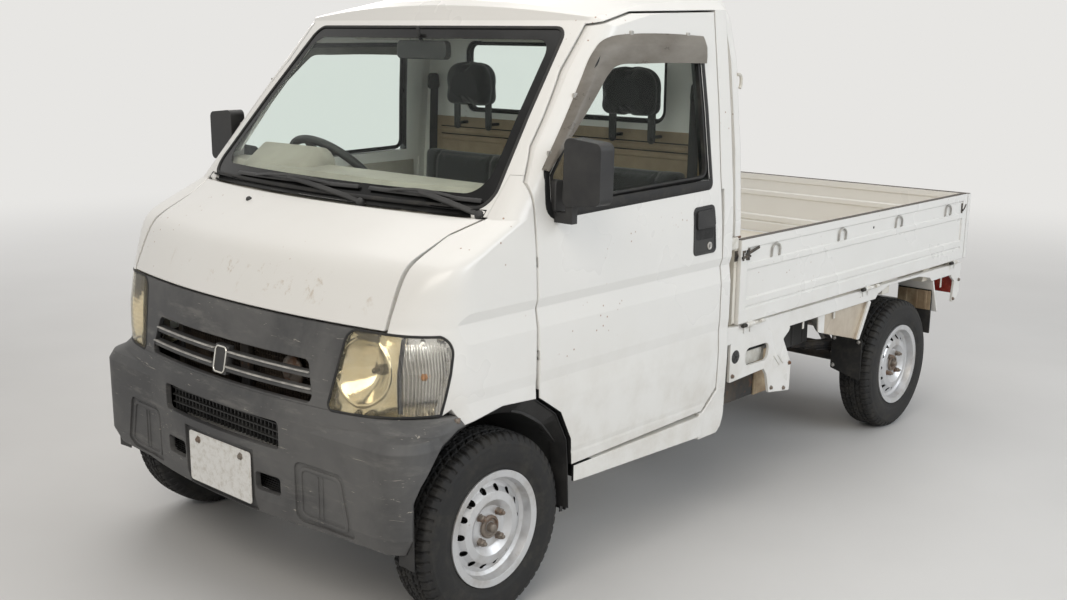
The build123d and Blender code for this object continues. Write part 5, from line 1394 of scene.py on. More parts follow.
def make_side_parts():
    """Bolts, tabs, hooks and collars along the rails and the guard frame, the fuel cap and the skirt."""
    for side, name in SIDES:
        x = side * 0.725
        bolts = Form()
        for y, z in ((0.222, 0.455), (0.105, 0.386), (0.19, 0.368), (-0.15, 0.478), (1.61, 0.48),
                     (1.655, 0.56)):
            bolts.turned([(0.0, 0.0085), (0.0015, 0.0085), (0.002, 0.0062), (0.0062, 0.0062), (0.0072, 0.0045),
                          (0.0072, 0.0)], (x, y, z), (side, 0, 0), steps=6)
        bolts.finish(f"rail_bolts_{name}", "rusty_steel", "chassis", smooth=30)
        tabs = Form()
        for y in (0.33, 0.56, 1.5):
            low, high = ((0.56, 0.594) if y < 1 else (0.545, 0.594))
            tabs.box(*between((x - side * 0.014, y - 0.006, low), (x - side * 0.011, y + 0.006, high)))
        tabs.finish(f"rail_tabs_{name}", "bed_white", "chassis", edge=0.0006, steps=1)
        hook = Form()
        hook.bar(smooth_path([(side * 0.68, -0.133, 1.48), (side * 0.68, -0.118, 1.48),
                              (side * 0.68, -0.108, 1.47), (side * 0.68, -0.108, 1.448),
                              (side * 0.68, -0.114, 1.436)], 5), 0.0055, 12)
        hook.finish(f"guard_hook_{name}", "bed_white", "chassis", smooth=60)
        collars = Form()
        for z, reach in ((1.01, 0.684), (1.29, 0.664)):
            collars.turned([(0.0, 0.017), (0.003, 0.017), (0.006, 0.0125), (0.006, 0.011)],
                           (side * reach, -0.148, z), (-side, 0, 0), steps=24)
        collars.finish(f"guard_collars_{name}", "bed_white", "chassis", smooth=40)
        foot = Form()
        foot.box(*between((side * 0.681, -0.1665, 0.949), (side * 0.7225, -0.1295, 0.957)))
        foot.finish(f"guard_foot_{name}", "rusty_steel", "chassis", edge=0.0015)
    cap = Form()
    cap.turned([(0.0, 0.03), (0.003, 0.03), (0.004, 0.026), (0.0095, 0.025), (0.0115, 0.022), (0.012, 0.0)],
               (0.7145, -0.1335, 0.543), (1, 0, 0), steps=36)
    for k in range(3):
        angle = k * math.pi / 3
        reach = Vector((0, math.cos(angle), math.sin(angle))) * 0.02
        cap.sweep([Vector((0.7262, -0.1335, 0.543)) - reach, Vector((0.7262, -0.1335, 0.543)) + reach],
                  [(-0.0022, -0.002), (-0.0022, 0.0014), (0.0022, 0.0014), (0.0022, -0.002)],
                  [Vector((1, 0, 0))] * 2)
    cap.finish("fuel_cap", "black_plastic", "chassis", smooth=35)
    neck = Form()
    neck.bar(smooth_path([(0.712, -0.1335, 0.543), (0.68, -0.128, 0.535), (0.64, -0.09, 0.515),
                          (0.6, -0.05, 0.498), (0.585, -0.03, 0.48)], 6), 0.021, 18)
    neck.finish("filler_neck", "black_rubber", "chassis", smooth=60)
    Form().box((0.69, -0.08, 0.488), (0.6935, 0.095, 0.535)).finish(
            "skirt_inner", "bed_white", "chassis", edge=0.001)
    Form().box((0.688, -0.085, 0.536), (0.694, 0.1, 0.566)).finish(
            "skirt_shadow", "black_rubber", "chassis", edge=0.001)


def make_guard_parts():
    """Guard linings and flaps, boxes under the bed, post caps, sill ends, tail lamp parts and aerial."""
    cab = surface("cab_shell")
    for side, name in SIDES:
        lining = Form()
        lining.box(*between((side * 0.562, 1.4075, 0.458), (side * 0.713, 1.4105, 0.541)))
        for x in (0.6, 0.648, 0.69):
            lining.box(*between((side * (x - 0.006), 1.4045, 0.462), (side * (x + 0.006), 1.408, 0.538)))
        lining.finish(f"guard_lining_{name}", "dusty_tan", "chassis", edge=0.0012)
        flap = Form()
        flap.prism([(side * x, z)
                    for x, z in rounded_outline([(0.572, 0.292), (0.705, 0.258), (0.705, 0.432),
                                                 (0.572, 0.432)], 0.008, 3)], 0.8175, 0.8215, along_y)
        flap.finish(f"front_flap_{name}", "black_rubber", "chassis", edge=0.0008)
        bolt = Form()
        for x, z in ((0.583, 0.305), (0.583, 0.418), (0.69, 0.418)):
            bolt.turned([(0.0, 0.009), (0.0015, 0.009), (0.002, 0.0058), (0.0055, 0.0058), (0.0065, 0.004),
                         (0.0065, 0.0)], (side * x, 0.8175, z), (0, -1, 0), steps=6)
        bolt.finish(f"front_flap_bolts_{name}", "bright_steel", "chassis", smooth=30)
        cap = Form()
        cap.box(*between((side * 0.694, -0.2005, 0.914), (side * 0.731, -0.1515, 0.9555)))
        cap.finish(f"post_cap_{name}", "bed_white", "chassis", edge=0.007, steps=4)
        tab = Form()
        tab.box(*between((side * 0.7215, -1.456, 0.6145), (side * 0.7335, -1.438, 0.6285)))
        tab.turned([(0.0, 0.0065), (0.003, 0.0065), (0.004, 0.0045), (0.004, 0.0)],
                   (side * 0.733, -1.447, 0.6215), (side, 0, 0), steps=6)
        tab.finish(f"bumper_tab_{name}", "rusty_steel", "chassis", edge=0.001)
        corner = Form()
        outline = [(-0.346, 0.302), (-0.346, 0.3925), (-0.328, 0.3925), (-0.249, 0.4595), (-0.205, 0.4595),
                   (-0.2055, 0.352), (-0.216, 0.322), (-0.24, 0.302)]
        rings = []
        for rise in (-0.03, 0.0006):
            rings.append([on_side(cab, side, y, z)[0] + Vector((side * rise, 0, 0)) for y, z in outline])
        corner.rings(rings)
        corner.finish(f"sill_end_{name}", "body_white", "chassis", edge=0.003)
    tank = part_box("fuel_tank")
    box = Form()
    box.box((tank[1][0] - 0.06, tank[1][1] - 0.145, tank[0][2] - 0.004),
            (tank[1][0] + 0.006, tank[1][1] + 0.004, tank[1][2] - 0.02))
    box.finish("skirt_box", "dusty_tan", "chassis", edge=0.003)
    canister = Form()
    canister.box((0.43, 0.395, 0.43), (0.56, 0.64, 0.56))
    canister.box((0.425, 0.388, 0.545), (0.565, 0.648, 0.566))
    for y in (0.44, 0.52, 0.6):
        canister.box((0.558, y - 0.006, 0.436), (0.5635, y + 0.006, 0.546))
    canister.finish("battery_box", "black_plastic", "chassis", edge=0.004)
    bracket = Form()
    bracket.box((0.585, 0.372, 0.33), (0.589, 0.402, 0.56))
    bracket.box((0.56, 0.372, 0.33), (0.589, 0.376, 0.56))
    bracket.finish("spring_bracket", "bright_steel", "chassis", edge=0.001)
    for side, name in SIDES:
        amber = Form()
        amber.box(*between((side * 0.664, 1.6845, 0.5035), (side * 0.7125, 1.687, 0.5785)))
        amber.finish(f"tail_amber_{name}", "amber", "chassis", edge=0.0008)
        white = Form()
        white.box(*between((side * 0.594, 1.6845, 0.5035), (side * 0.6215, 1.687, 0.5785)))
        white.finish(f"tail_white_{name}", "dial_white", "chassis", edge=0.0008)
        ribs = Form()
        for x in (0.5915, 0.623, 0.6625, 0.714):
            ribs.box(*between((side * (x - 0.0012), 1.684, 0.5015), (side * (x + 0.0012), 1.6878, 0.5805)))
        for z in (0.5015, 0.5805):
            ribs.box(*between((side * 0.5915, 1.684, z - 0.0012), (side * 0.714, 1.6878, z + 0.0012)))
        ribs.finish(f"tail_ribs_{name}", "black_plastic", "chassis")
    aerial = Form()
    aerial.bar([(-0.6935, -1.03, 1.3), (-0.662, -0.9, 1.48), (-0.633, -0.79, 1.632)], 0.0017, 8)
    for place in ((-0.6935, -1.03, 1.3), (-0.6625, -0.9, 1.48)):
        aerial.turned([(-0.01, 0.0045), (0.0, 0.006), (0.012, 0.0045)], place, (0.17, 0.58, 0.8), steps=14)
    aerial.finish("aerial", "bright_steel", "chassis", smooth=50)


# Underside


def make_underbody():
    """Springs, dampers, shafts, pipes, drums, tank straps and engine parts under the truck."""
    for side, name in SIDES:
        leaves = Form()
        for n, (front, rear) in enumerate(((0.64, 1.61), (0.72, 1.52), (0.82, 1.43), (0.92, 1.34))):
            path = []
            for k in range(25):
                y = front + (rear - front) * k / 24
                sag = 0.352 + 0.058 * min(1.0, abs(y - REAR_AXLE) / 0.5) ** 1.3 - 0.0095 * n
                path.append((side * 0.48, y, sag - 0.012))
            leaves.sweep(path, [(-0.026, -0.0035), (-0.026, 0.0035), (0.026, 0.0035), (0.026, -0.0035)])
        for y in (1.095, 1.177):
            leaves.bar([(side * 0.45, y, 0.372), (side * 0.45, y, 0.3)], 0.0055, 10)
            leaves.bar([(side * 0.51, y, 0.372), (side * 0.51, y, 0.3)], 0.0055, 10)
        leaves.finish(f"leaf_spring_{name}", "frame_black", "chassis", edge=0.001, smooth=40, steps=1)
        damper = Form()
        top = Vector((side * 0.405, 0.905, 0.52))
        foot = Vector((side * 0.44, 1.08, 0.29))
        along = foot - top
        damper.turned([(0.0, 0.013), (0.01, 0.013), (0.012, 0.024), (along.length * 0.52, 0.024),
                       (along.length * 0.53, 0.01), (along.length * 0.56, 0.01), (along.length * 0.57, 0.0195),
                       (along.length * 0.94, 0.0195), (along.length * 0.95, 0.012), (along.length, 0.012),
                       (along.length, 0.0)], top, along, steps=28)
        damper.finish(f"damper_{name}", "bright_steel", "chassis", smooth=35)
        drum = Form()
        drum.turned([(-0.052, 0.1), (-0.05, 0.108), (-0.012, 0.108), (-0.008, 0.104), (-0.008, 0.06)],
                    (side * HALF_TRACK, REAR_AXLE, WHEEL_HEIGHT), (side, 0, 0), steps=48)
        drum.finish(f"brake_drum_{name}", "rusty_steel", f"wheel_rear_{name}", smooth=35)
        plate = Form()
        plate.turned([(-0.074, 0.04), (-0.074, 0.104), (-0.068, 0.11), (-0.056, 0.11)],
                     (side * HALF_TRACK, REAR_AXLE, WHEEL_HEIGHT), (side, 0, 0), steps=48)
        plate.finish(f"brake_plate_{name}", "frame_black", "chassis", smooth=35)
        hose = Form()
        hose.bar(smooth_path([(side * 0.545, 1.136, 0.33), (side * 0.52, 1.08, 0.38), (side * 0.44, 0.98, 0.44),
                              (side * 0.37, 0.88, 0.455)], 6), 0.0055, 10)
        hose.finish(f"brake_hose_{name}", "black_rubber", "chassis", smooth=60)
    shaft = Form()
    shaft.turned([(0.0, 0.036), (0.012, 0.036), (0.014, 0.024), (0.205, 0.024), (0.207, 0.036), (0.219, 0.036),
                  (0.219, 0.0)], (0, 0.835, 0.292), (0, 1, -0.07), steps=32)
    shaft.finish("propeller_shaft", "frame_black", "chassis", smooth=35)
    case = Form()
    case.turned([(-0.12, 0.04), (-0.085, 0.062), (-0.06, 0.1), (-0.03, 0.122), (0.03, 0.122), (0.06, 0.1),
                 (0.085, 0.062), (0.12, 0.04)], (0, REAR_AXLE, WHEEL_HEIGHT), (1, 0, 0), steps=40)
    for k in range(10):
        angle = 2 * math.pi * k / 10
        case.turned([(0.0, 0.008), (0.01, 0.008), (0.012, 0.006), (0.012, 0.0)],
                    (0.098 * math.cos(angle), REAR_AXLE + 0.052, WHEEL_HEIGHT + 0.098 * math.sin(angle)),
                    (0, 1, 0), steps=6)
    case.finish("differential", "frame_black", "chassis", smooth=35)
    pipe = Form()
    pipe.bar(smooth_path([(-0.18, 0.83, 0.3), (-0.25, 0.92, 0.33), (-0.255, 1.13, 0.435), (-0.25, 1.3, 0.41),
                          (-0.3, 1.4, 0.37), (-0.34, 1.44, 0.352)], 7), 0.021, 18)
    pipe.bar(smooth_path([(0.24, 1.48, 0.35), (0.3, 1.49, 0.345), (0.38, 1.54, 0.34), (0.4, 1.66, 0.335)], 7),
             0.019, 18)
    pipe.finish("exhaust_pipe", "exhaust_steel", "chassis", smooth=60)
    engine = Form()
    for k in range(7):
        engine.box((-0.23 + k * 0.066, 0.374, 0.225), (-0.206 + k * 0.066, 0.38, 0.395))
    for k in range(9):
        engine.turned([(0.0, 0.009), (0.008, 0.009), (0.01, 0.007), (0.01, 0.0)],
                      (-0.2 + k * 0.05, 0.86, 0.24 + 0.14 * (k % 2)), (0, 1, 0), steps=6)
    engine.turned([(0.0, 0.06), (0.012, 0.062), (0.014, 0.052), (0.02, 0.05), (0.026, 0.06), (0.034, 0.06),
                   (0.036, 0.0)], (0.24, 0.56, 0.3), (1, 0, 0), steps=40)
    engine.turned([(0.0, 0.036), (0.012, 0.038), (0.02, 0.03), (0.03, 0.03), (0.032, 0.0)], (0.24, 0.7, 0.35),
                  (1, 0, 0), steps=32)
    engine.finish("engine_parts", "engine_metal", "chassis", edge=0.001, smooth=35, steps=1)
    clips = Form()
    for y in (-0.04, 0.24):
        clips.sweep([(0.357, y, 0.497), (0.357, y, 0.3185), (0.595, y, 0.3185), (0.6015, y, 0.325),
                     (0.6015, y, 0.497)], [(-0.014, -0.001), (-0.014, 0.002), (0.014, 0.002), (0.014, -0.001)],
                    [Vector((-1, 0, 0)), Vector((-0.7, 0, -0.7)), Vector((0.3, 0, -1)), Vector((1, 0, -0.3)),
                     Vector((1, 0, 0))])
    clips.finish("tank_straps", "frame_black", "chassis", edge=0.0005, smooth=30, steps=1)


ARCH = [(-0.314, 0.25), (-0.314, 0.434), (-0.295, 0.477), (-0.226, 0.568), (-0.168, 0.601), (0.0, 0.628),
        (0.139, 0.6165), (0.2305, 0.5525), (0.2785, 0.463), (0.2855, 0.386), (0.292, 0.25)]
LINER_RADIUS = 0.3235
FLAP_BACK = [(0.1, 0.65), (0.15, 0.64), (0.255, 0.572), (0.306, 0.47), (0.314, 0.38), (0.306, 0.226)]


def make_liner_parts():
    """Flanges, webs and clips of the front arch liners."""
    for side, name in SIDES:
        flange = Form()
        rings = []
        corners = rounded_outline([(y, z) for y, z in ARCH], [0] + [0.022] * (len(ARCH) - 2) + [0], 3)
        for along, height in walked(corners, 0.02, closed=False):
            reach = Vector((0, along, height - WHEEL_HEIGHT))
            outward = reach.normalized()
            edge = Vector((side * 0.7155, FRONT_AXLE + along, height))
            foot = Vector((side * 0.684, FRONT_AXLE, WHEEL_HEIGHT)) + outward * min(
                    LINER_RADIUS, reach.length - 0.003)
            lip = edge + Vector((side * 0.009, 0, 0))
            inward = Vector((-side * 0.02, 0, 0))
            rings.append([lip, edge, foot, foot + inward, foot + inward - outward * 0.003,
                          foot - outward * 0.003, edge - outward * 0.0035, lip - outward * 0.0025])
        flange.rings(rings)
        flange.finish(f"liner_flange_{name}", "black_plastic", "chassis", smooth=45)
        flap = Form()
        outer = [Vector((0, y, z)) for y, z in FLAP_BACK]
        rings = []
        for point in outer:
            outward = Vector((0, point.y, point.z - WHEEL_HEIGHT)).normalized()
            near = Vector((0, 0, WHEEL_HEIGHT)) + outward * min(0.3225,
                                                                Vector((point.y, point.z - WHEEL_HEIGHT)).length
                                                                - 0.012)
            rings.append([Vector((side * x, place.y + FRONT_AXLE, place.z)) for x, place in
                          ((0.6895, point), (0.6895, near), (0.6865, near), (0.6865, point))])
        flap.rings(rings)
        flap.finish(f"liner_web_{name}", "black_plastic", "chassis", smooth=45)
        clips = Form()
        for angle in (12, 42, 74, 106, 138):
            turn = math.radians(angle)
            place = Vector((side * 0.665, FRONT_AXLE + LINER_RADIUS * math.cos(turn),
                            WHEEL_HEIGHT + LINER_RADIUS * math.sin(turn)))
            inward = Vector((0, -math.cos(turn), -math.sin(turn)))
            clips.turned([(-0.001, 0.011), (0.002, 0.011), (0.004, 0.007), (0.0045, 0.0)], place, inward,
                         steps=20)
        clips.finish(f"liner_clips_{name}", "black_plastic", "chassis", smooth=40)


# Cabin

def make_dash():
    """Gauges under their cowl, vents, radio, and the steering wheel's spokes, shroud and stalks."""
    cowling = Form()
    rings = []
    for y, height, half in ((-1.222, 1.176, 0.166), (-1.214, 1.196, 0.166), (-1.15, 1.246, 0.165),
                            (-1.106, 1.24, 0.165), (-1.098, 1.232, 0.165)):
        arc = rounded_outline([(-0.345 - half, 1.15), (-0.345 + half, 1.15), (-0.345 + half, height),
                               (-0.345 - half, height)],
                              (0.0, 0.0, min(0.046, height - 1.152), min(0.046, height - 1.152)), 7)
        rings.append([Vector((u, y, v)) for u, v in arc])
    cowling.rings(rings, capped=False)
    cowling.finish("gauge_cowl", "dash_plastic", "chassis", smooth=50)
    hump = Form()
    hump.prism(rounded_outline([(-0.49, 1.15), (-0.2, 1.15), (-0.215, 1.222), (-0.475, 1.222)], 0.03, 6),
               -1.1095, -1.1075, along_y)
    hump.finish("gauge_glass", "gloss_black", "chassis", edge=0.0008)
    gauges = Form()
    for x, radius in ((-0.345, 0.034), (-0.42, 0.024), (-0.27, 0.024)):
        gauges.turned([(0.0, radius), (0.0016, radius), (0.002, radius - 0.002), (0.0008, radius - 0.003),
                       (0.0008, 0.0)], (x, -1.1075, 1.186), (0, 1, 0), steps=36)
    gauges.finish("gauge_dials", "dial_white", "chassis", smooth=35)
    needles = Form()
    for x, angle, length in ((-0.345, 2.4, 0.026), (-0.42, 2.2, 0.017), (-0.27, 2.0, 0.017)):
        tip = Vector((x + length * math.cos(angle), -1.106, 1.186 + length * math.sin(angle)))
        needles.bar([(x, -1.106, 1.186), tip], 0.0008, 6)
    needles.finish("gauge_needles", "tail_lens", "chassis")
    vents = Form()
    for x in (-0.56, -0.14, 0.14, 0.56):
        face = rounded_outline([(x - 0.055, 1.06), (x + 0.055, 1.06), (x + 0.055, 1.105), (x - 0.055, 1.105)],
                               0.008, 4)
        lean = lambda u, v, d: Vector((u, -1.0785 - (v - 1.06) * -0.1 + d, v))
        vents.prism(face, 0.0, 0.004, lean)
        for k in range(4):
            z = 1.068 + k * 0.0095
            vents.box((x - 0.048, -1.0745 + (z - 1.06) * 0.1, z),
                      (x + 0.048, -1.0695 + (z - 1.06) * 0.1, z + 0.003))
    vents.finish("dash_vents", "black_plastic", "chassis", edge=0.0008, steps=1)
    radio = Form()
    radio.prism(rounded_outline([(-0.09, 0.975), (0.09, 0.975), (0.09, 1.05), (-0.09, 1.05)], 0.005, 4), -1.098,
                -1.082, along_y)
    for x in (-0.07, 0.07):
        radio.turned([(0.0, 0.013), (0.012, 0.012), (0.014, 0.01), (0.014, 0.0)], (x, -1.082, 1.012), (0, 1, 0),
                     steps=24)
    for k in range(5):
        radio.box((-0.04 + k * 0.017, -1.083, 0.985), (-0.028 + k * 0.017, -1.079, 0.995))
    radio.finish("radio", "black_plastic", "chassis", edge=0.0008, smooth=35, steps=1)
    wheel = Form()
    centre = Vector((-0.345, -0.954, 1.12))
    tilt = math.radians(48)
    axis = Vector((0, math.sin(tilt), math.cos(tilt)))
    across = Vector((1, 0, 0))
    updown = axis.cross(across)
    wheel.turned([(-0.032, 0.055), (-0.018, 0.062), (-0.006, 0.056), (0.002, 0.038), (0.003, 0.0)], centre,
                 axis, steps=36)
    for start, end, wide in ((across, across, 0.016), (-across, -across, 0.016), (-updown, -updown, 0.02)):
        wheel.sweep([centre + start * 0.045 - axis * 0.014, centre + end * 0.11 - axis * 0.012,
                     centre + end * 0.178 - axis * 0.002],
                    [(-wide, -0.006), (-wide, 0.005), (-wide * 0.6, 0.008), (wide * 0.6, 0.008), (wide, 0.005),
                     (wide, -0.006)], [axis] * 3)
    wheel.finish("wheel_spokes", "black_plastic", "steering", edge=0.002, smooth=40)
    stalks = Form()
    for way in (-1, 1):
        root = centre - axis * 0.062 + across * way * 0.02
        stalks.bar(smooth_path([root, root + across * way * 0.06 + updown * 0.004,
                                root + across * way * 0.12 + updown * 0.012], 4), 0.0055, 12)
        tip = root + across * way * 0.12 + updown * 0.012
        stalks.turned([(-0.004, 0.0055), (0.0, 0.0085), (0.022, 0.008), (0.026, 0.004), (0.026, 0.0)], tip,
                      across * way, steps=16)
    shroud = centre - axis * 0.05
    stalks.turned([(-0.12, 0.036), (-0.06, 0.042), (0.0, 0.044), (0.008, 0.036)], shroud, axis, steps=28)
    stalks.finish("column_stalks", "black_plastic", "chassis", smooth=40)


def make_cabin():
    """Pedals, levers, rear wall trim, roof lining, sun shades, belts, window seal and floor mats."""
    pedals = Form()
    for x in (-0.47, -0.37, -0.27):
        pedals.bar(smooth_path([(x, -1.215, 0.88), (x, -1.18, 0.72), (x, -1.165, 0.56)], 5), 0.007, 10)
        pedals.box((x - 0.028, -1.172, 0.52), (x + 0.028, -1.158, 0.58))
    pedals.finish("pedals", "black_rubber", "chassis", edge=0.003)
    levers = Form()
    levers.bar(smooth_path([(0.0, -0.86, 0.425), (0.002, -0.865, 0.6), (0.006, -0.89, 0.76)], 5), 0.0075, 12)
    levers.turned([(-0.01, 0.01), (0.0, 0.016), (0.02, 0.023), (0.036, 0.02), (0.044, 0.008), (0.045, 0.0)],
                  (0.006, -0.888, 0.75), (0.03, -0.16, 1), steps=28)
    levers.turned([(0.0, 0.06), (0.01, 0.055), (0.022, 0.04), (0.034, 0.032), (0.046, 0.022), (0.06, 0.012)],
                  (0.0, -0.86, 0.421), (0, 0, 1), steps=32)
    levers.bar(smooth_path([(0.075, -0.56, 0.655), (0.075, -0.64, 0.7), (0.075, -0.73, 0.76)], 4), 0.01, 12)
    levers.turned([(0.0, 0.01), (0.004, 0.0145), (0.09, 0.0135), (0.098, 0.008), (0.098, 0.0)],
                  (0.075, -0.69, 0.733), (0, -0.8, 0.6), steps=20)
    levers.finish("cabin_levers", "black_plastic", "chassis", smooth=40)
    wall = Form()
    wall.box((-0.63, -0.2345, 0.66), (0.63, -0.231, 1.29))
    for z in (0.9, 1.08, 1.208, 1.236):
        wall.sweep([(-0.6 + 1.2 * n / 20, -0.2345, z) for n in range(21)],
                   [(-0.01, -0.001), (-0.006, 0.005), (0.006, 0.005), (0.01, -0.001)],
                   [Vector((0, -1, 0))] * 21)
    wall.finish("rear_wall_trim", "tan_panel", "chassis", edge=0.001)
    grooves = Form()
    for z in (1.222, 1.251):
        grooves.box((-0.6, -0.2352, z - 0.0022), (0.6, -0.234, z + 0.0022))
    grooves.finish("rear_wall_grooves", "shadow", "chassis")
    roof = Form()
    rings = []
    for n in range(13):
        y = -0.74 + 0.5 * n / 12
        rings.append([Vector((x, y,
                              1.716 - 0.055 * (x / 0.6) ** 2 - 0.1 * max(0.0, (-0.4 - y) / 0.34) ** 2 * 0.5))
                      for x in [0.6 - 0.1 * k for k in range(13)]])
    roof.rings([ring + [point + Vector((0, 0, -0.006)) for point in reversed(ring)] for ring in rings])
    roof.finish("roof_lining", "lining_cloth", "chassis", smooth=60)
    shades = Form()
    for x in (-0.3, 0.3):
        shades.rings([[Vector((x + u, -0.832 + v * 0.55, 1.64 - v * 0.82 + d))
                       for u, v in rounded_outline([(-0.15, 0.0), (0.15, 0.0), (0.15, 0.08), (-0.15, 0.08)],
                                                   0.022, 5)] for d in (0.0, 0.01)])
    shades.finish("sun_shades", "lining_cloth", "chassis", edge=0.003)
    belts = Form()
    for side in (-1, 1):
        top = Vector((side * 0.61, -0.262, 1.42))
        path = smooth_path([top, (side * 0.612, -0.268, 1.2), (side * 0.614, -0.27, 0.95),
                            (side * 0.612, -0.268, 0.68)], 6)
        belts.sweep(path, [(-0.0235, -0.0007), (-0.0235, 0.0007), (0.0235, 0.0007), (0.0235, -0.0007)],
                    [Vector((-side, 0.15, 0))] * len(path))
    belts.finish("belt_straps", "webbing", "chassis", smooth=60)
    guides = Form()
    for side in (-1, 1):
        guides.prism(rounded_outline([(-0.292, 1.392), (-0.236, 1.392), (-0.242, 1.452), (-0.286, 1.452)],
                                     0.014, 5), side * 0.606, side * 0.622, along_x)
        guides.box(*between((side * 0.585, -0.3, 0.66), (side * 0.628, -0.244, 0.8)))
        guides.bar([(side * 0.13, -0.42, 0.7), (side * 0.132, -0.43, 0.8)], 0.01, 12)
        guides.box(*between((side * 0.118, -0.446, 0.79), (side * 0.146, -0.418, 0.85)))
    guides.finish("belt_guides", "black_plastic", "chassis", edge=0.003)
    seal = Form()
    outline = rounded_outline([(-0.466, 1.316), (0.466, 1.316), (0.466, 1.571), (-0.466, 1.571)], 0.041, 7)
    for y, up in ((-0.2215, -1), (-0.2035, 1)):
        path = [Vector((x, y, z)) for x, z in outline]
        seal.sweep(path, [(-0.012, -0.003), (-0.01, 0.003), (0.0, 0.0046), (0.01, 0.003), (0.012, -0.003)],
                   [Vector((0, up, 0))] * len(path), closed=True)
    seal.finish("rear_window_seal", "black_rubber", "chassis", smooth=60)
    mats = Form()
    for x in (-0.36, 0.36):
        mats.prism(rounded_outline([(x - 0.19, -1.01), (x + 0.19, -1.01), (x + 0.19, -0.78), (x - 0.19, -0.78)],
                                   0.03, 5), 0.4205, 0.4265, along_z)
    mats.finish("floor_mats", "black_rubber", "chassis", edge=0.001)


# Seats

CLOTH_FRAMES = 20


def stuffed(name, blocks, voxel, cap, channels):
    """A padded piece: blocks joined by a voxel remesh, blown up as cloth, held to cap, and seamed."""
    form = Form()
    for low, high, turn in blocks:
        if turn == "round top":
            corners = [(low[0], low[2]), (high[0], low[2]), (high[0], high[2]), (low[0], high[2])]
            form.prism(rounded_outline(corners, (0.03, 0.03, 0.064, 0.064), 6), low[1], high[1], along_y)
        else:
            form.box(low, high, turn)
    data = bpy.data.meshes.new(name)
    bevelled = form.mesh
    bmesh.ops.recalc_face_normals(bevelled, faces=bevelled.faces)
    edges = [edge for edge in bevelled.edges if edge.calc_face_angle(0) > 0.6]
    bmesh.ops.bevel(bevelled, geom=edges, offset=0.022, segments=4, profile=0.6, affect="EDGES")
    bevelled.to_mesh(data)
    bevelled.free()
    piece = linked(name, data)
    remesh = piece.modifiers.new("remesh", "REMESH")
    remesh.mode = "VOXEL"
    remesh.voxel_size = voxel
    smooth = piece.modifiers.new("smooth", "SMOOTH")
    smooth.factor = 0.5
    smooth.iterations = 6
    piece.data = applied(piece)
    piece.modifiers.clear()
    start = [vertex.co.copy() for vertex in piece.data.vertices]
    cloth = piece.modifiers.new("cloth", "CLOTH")
    for setting, value in (("quality", 5), ("use_pressure", True), ("uniform_pressure_force", 4),
                           ("tension_stiffness", 15), ("compression_stiffness", 15),
                           ("bending_stiffness", 0.6)):
        setattr(cloth.settings, setting, value)
    cloth.settings.effector_weights.gravity = 0
    cloth.collision_settings.use_collision = False
    cloth.point_cache.frame_start = 1
    cloth.point_cache.frame_end = CLOTH_FRAMES
    for step in range(1, CLOTH_FRAMES + 1):
        bpy.context.scene.frame_set(step)
    piece.data = applied(piece)
    piece.modifiers.clear()
    bpy.context.scene.frame_set(1)
    for vertex, before in zip(piece.data.vertices, start):
        shift = vertex.co - before
        if shift.length > cap:
            vertex.co = before + shift.normalized() * cap
    for vertex in piece.data.vertices:
        vertex.co += channels(vertex.co, vertex.normal)
    piece.data.materials.clear()
    piece.data.materials.append(finishes["seat_cloth"])
    piece.data.polygons.foreach_set("use_smooth", [True] * len(piece.data.polygons))
    return piece.data


def applied(piece):
    """A new mesh with the piece's modifiers worked in."""
    graph = bpy.context.evaluated_depsgraph_get()
    graph.update()
    return bpy.data.meshes.new_from_object(piece.evaluated_get(graph))


def seam(distance, width, depth):
    """How deep a sewn channel is at a distance from its middle."""
    return depth * math.exp(-(distance / width) ** 2)


def cushion_channels(place, normal):
    """Side bolster seams and two cross channels of a seat cushion."""
    along = abs(abs(place.x - SEAT_MIDDLE) - 0.15)
    cross = min(abs(place.y + 0.64), abs(place.y + 0.5))
    depth = seam(along, 0.006, 0.0055) + (seam(cross, 0.006, 0.0045) if abs(place.x - SEAT_MIDDLE) < 0.15
                                          else 0.0)
    return -normal * (depth if place.z > 0.72 else 0.0)


def back_channels(place, normal):
    """Side bolster seams and three cross channels of a seat back."""
    along = abs(abs(place.x - SEAT_MIDDLE) - 0.14)
    cross = min(abs(place.z - 0.9), abs(place.z - 1.03), abs(place.z - 1.16))
    depth = seam(along, 0.006, 0.0055) + (seam(cross, 0.006, 0.004) if abs(place.x - SEAT_MIDDLE) < 0.14
                                          else 0.0)
    return -normal * (depth if normal.y < 0 else 0.0)


def head_channels(place, normal):
    """The seam round a head restraint."""
    return -normal * seam(abs(place.y + 0.296), 0.004, 0.003)


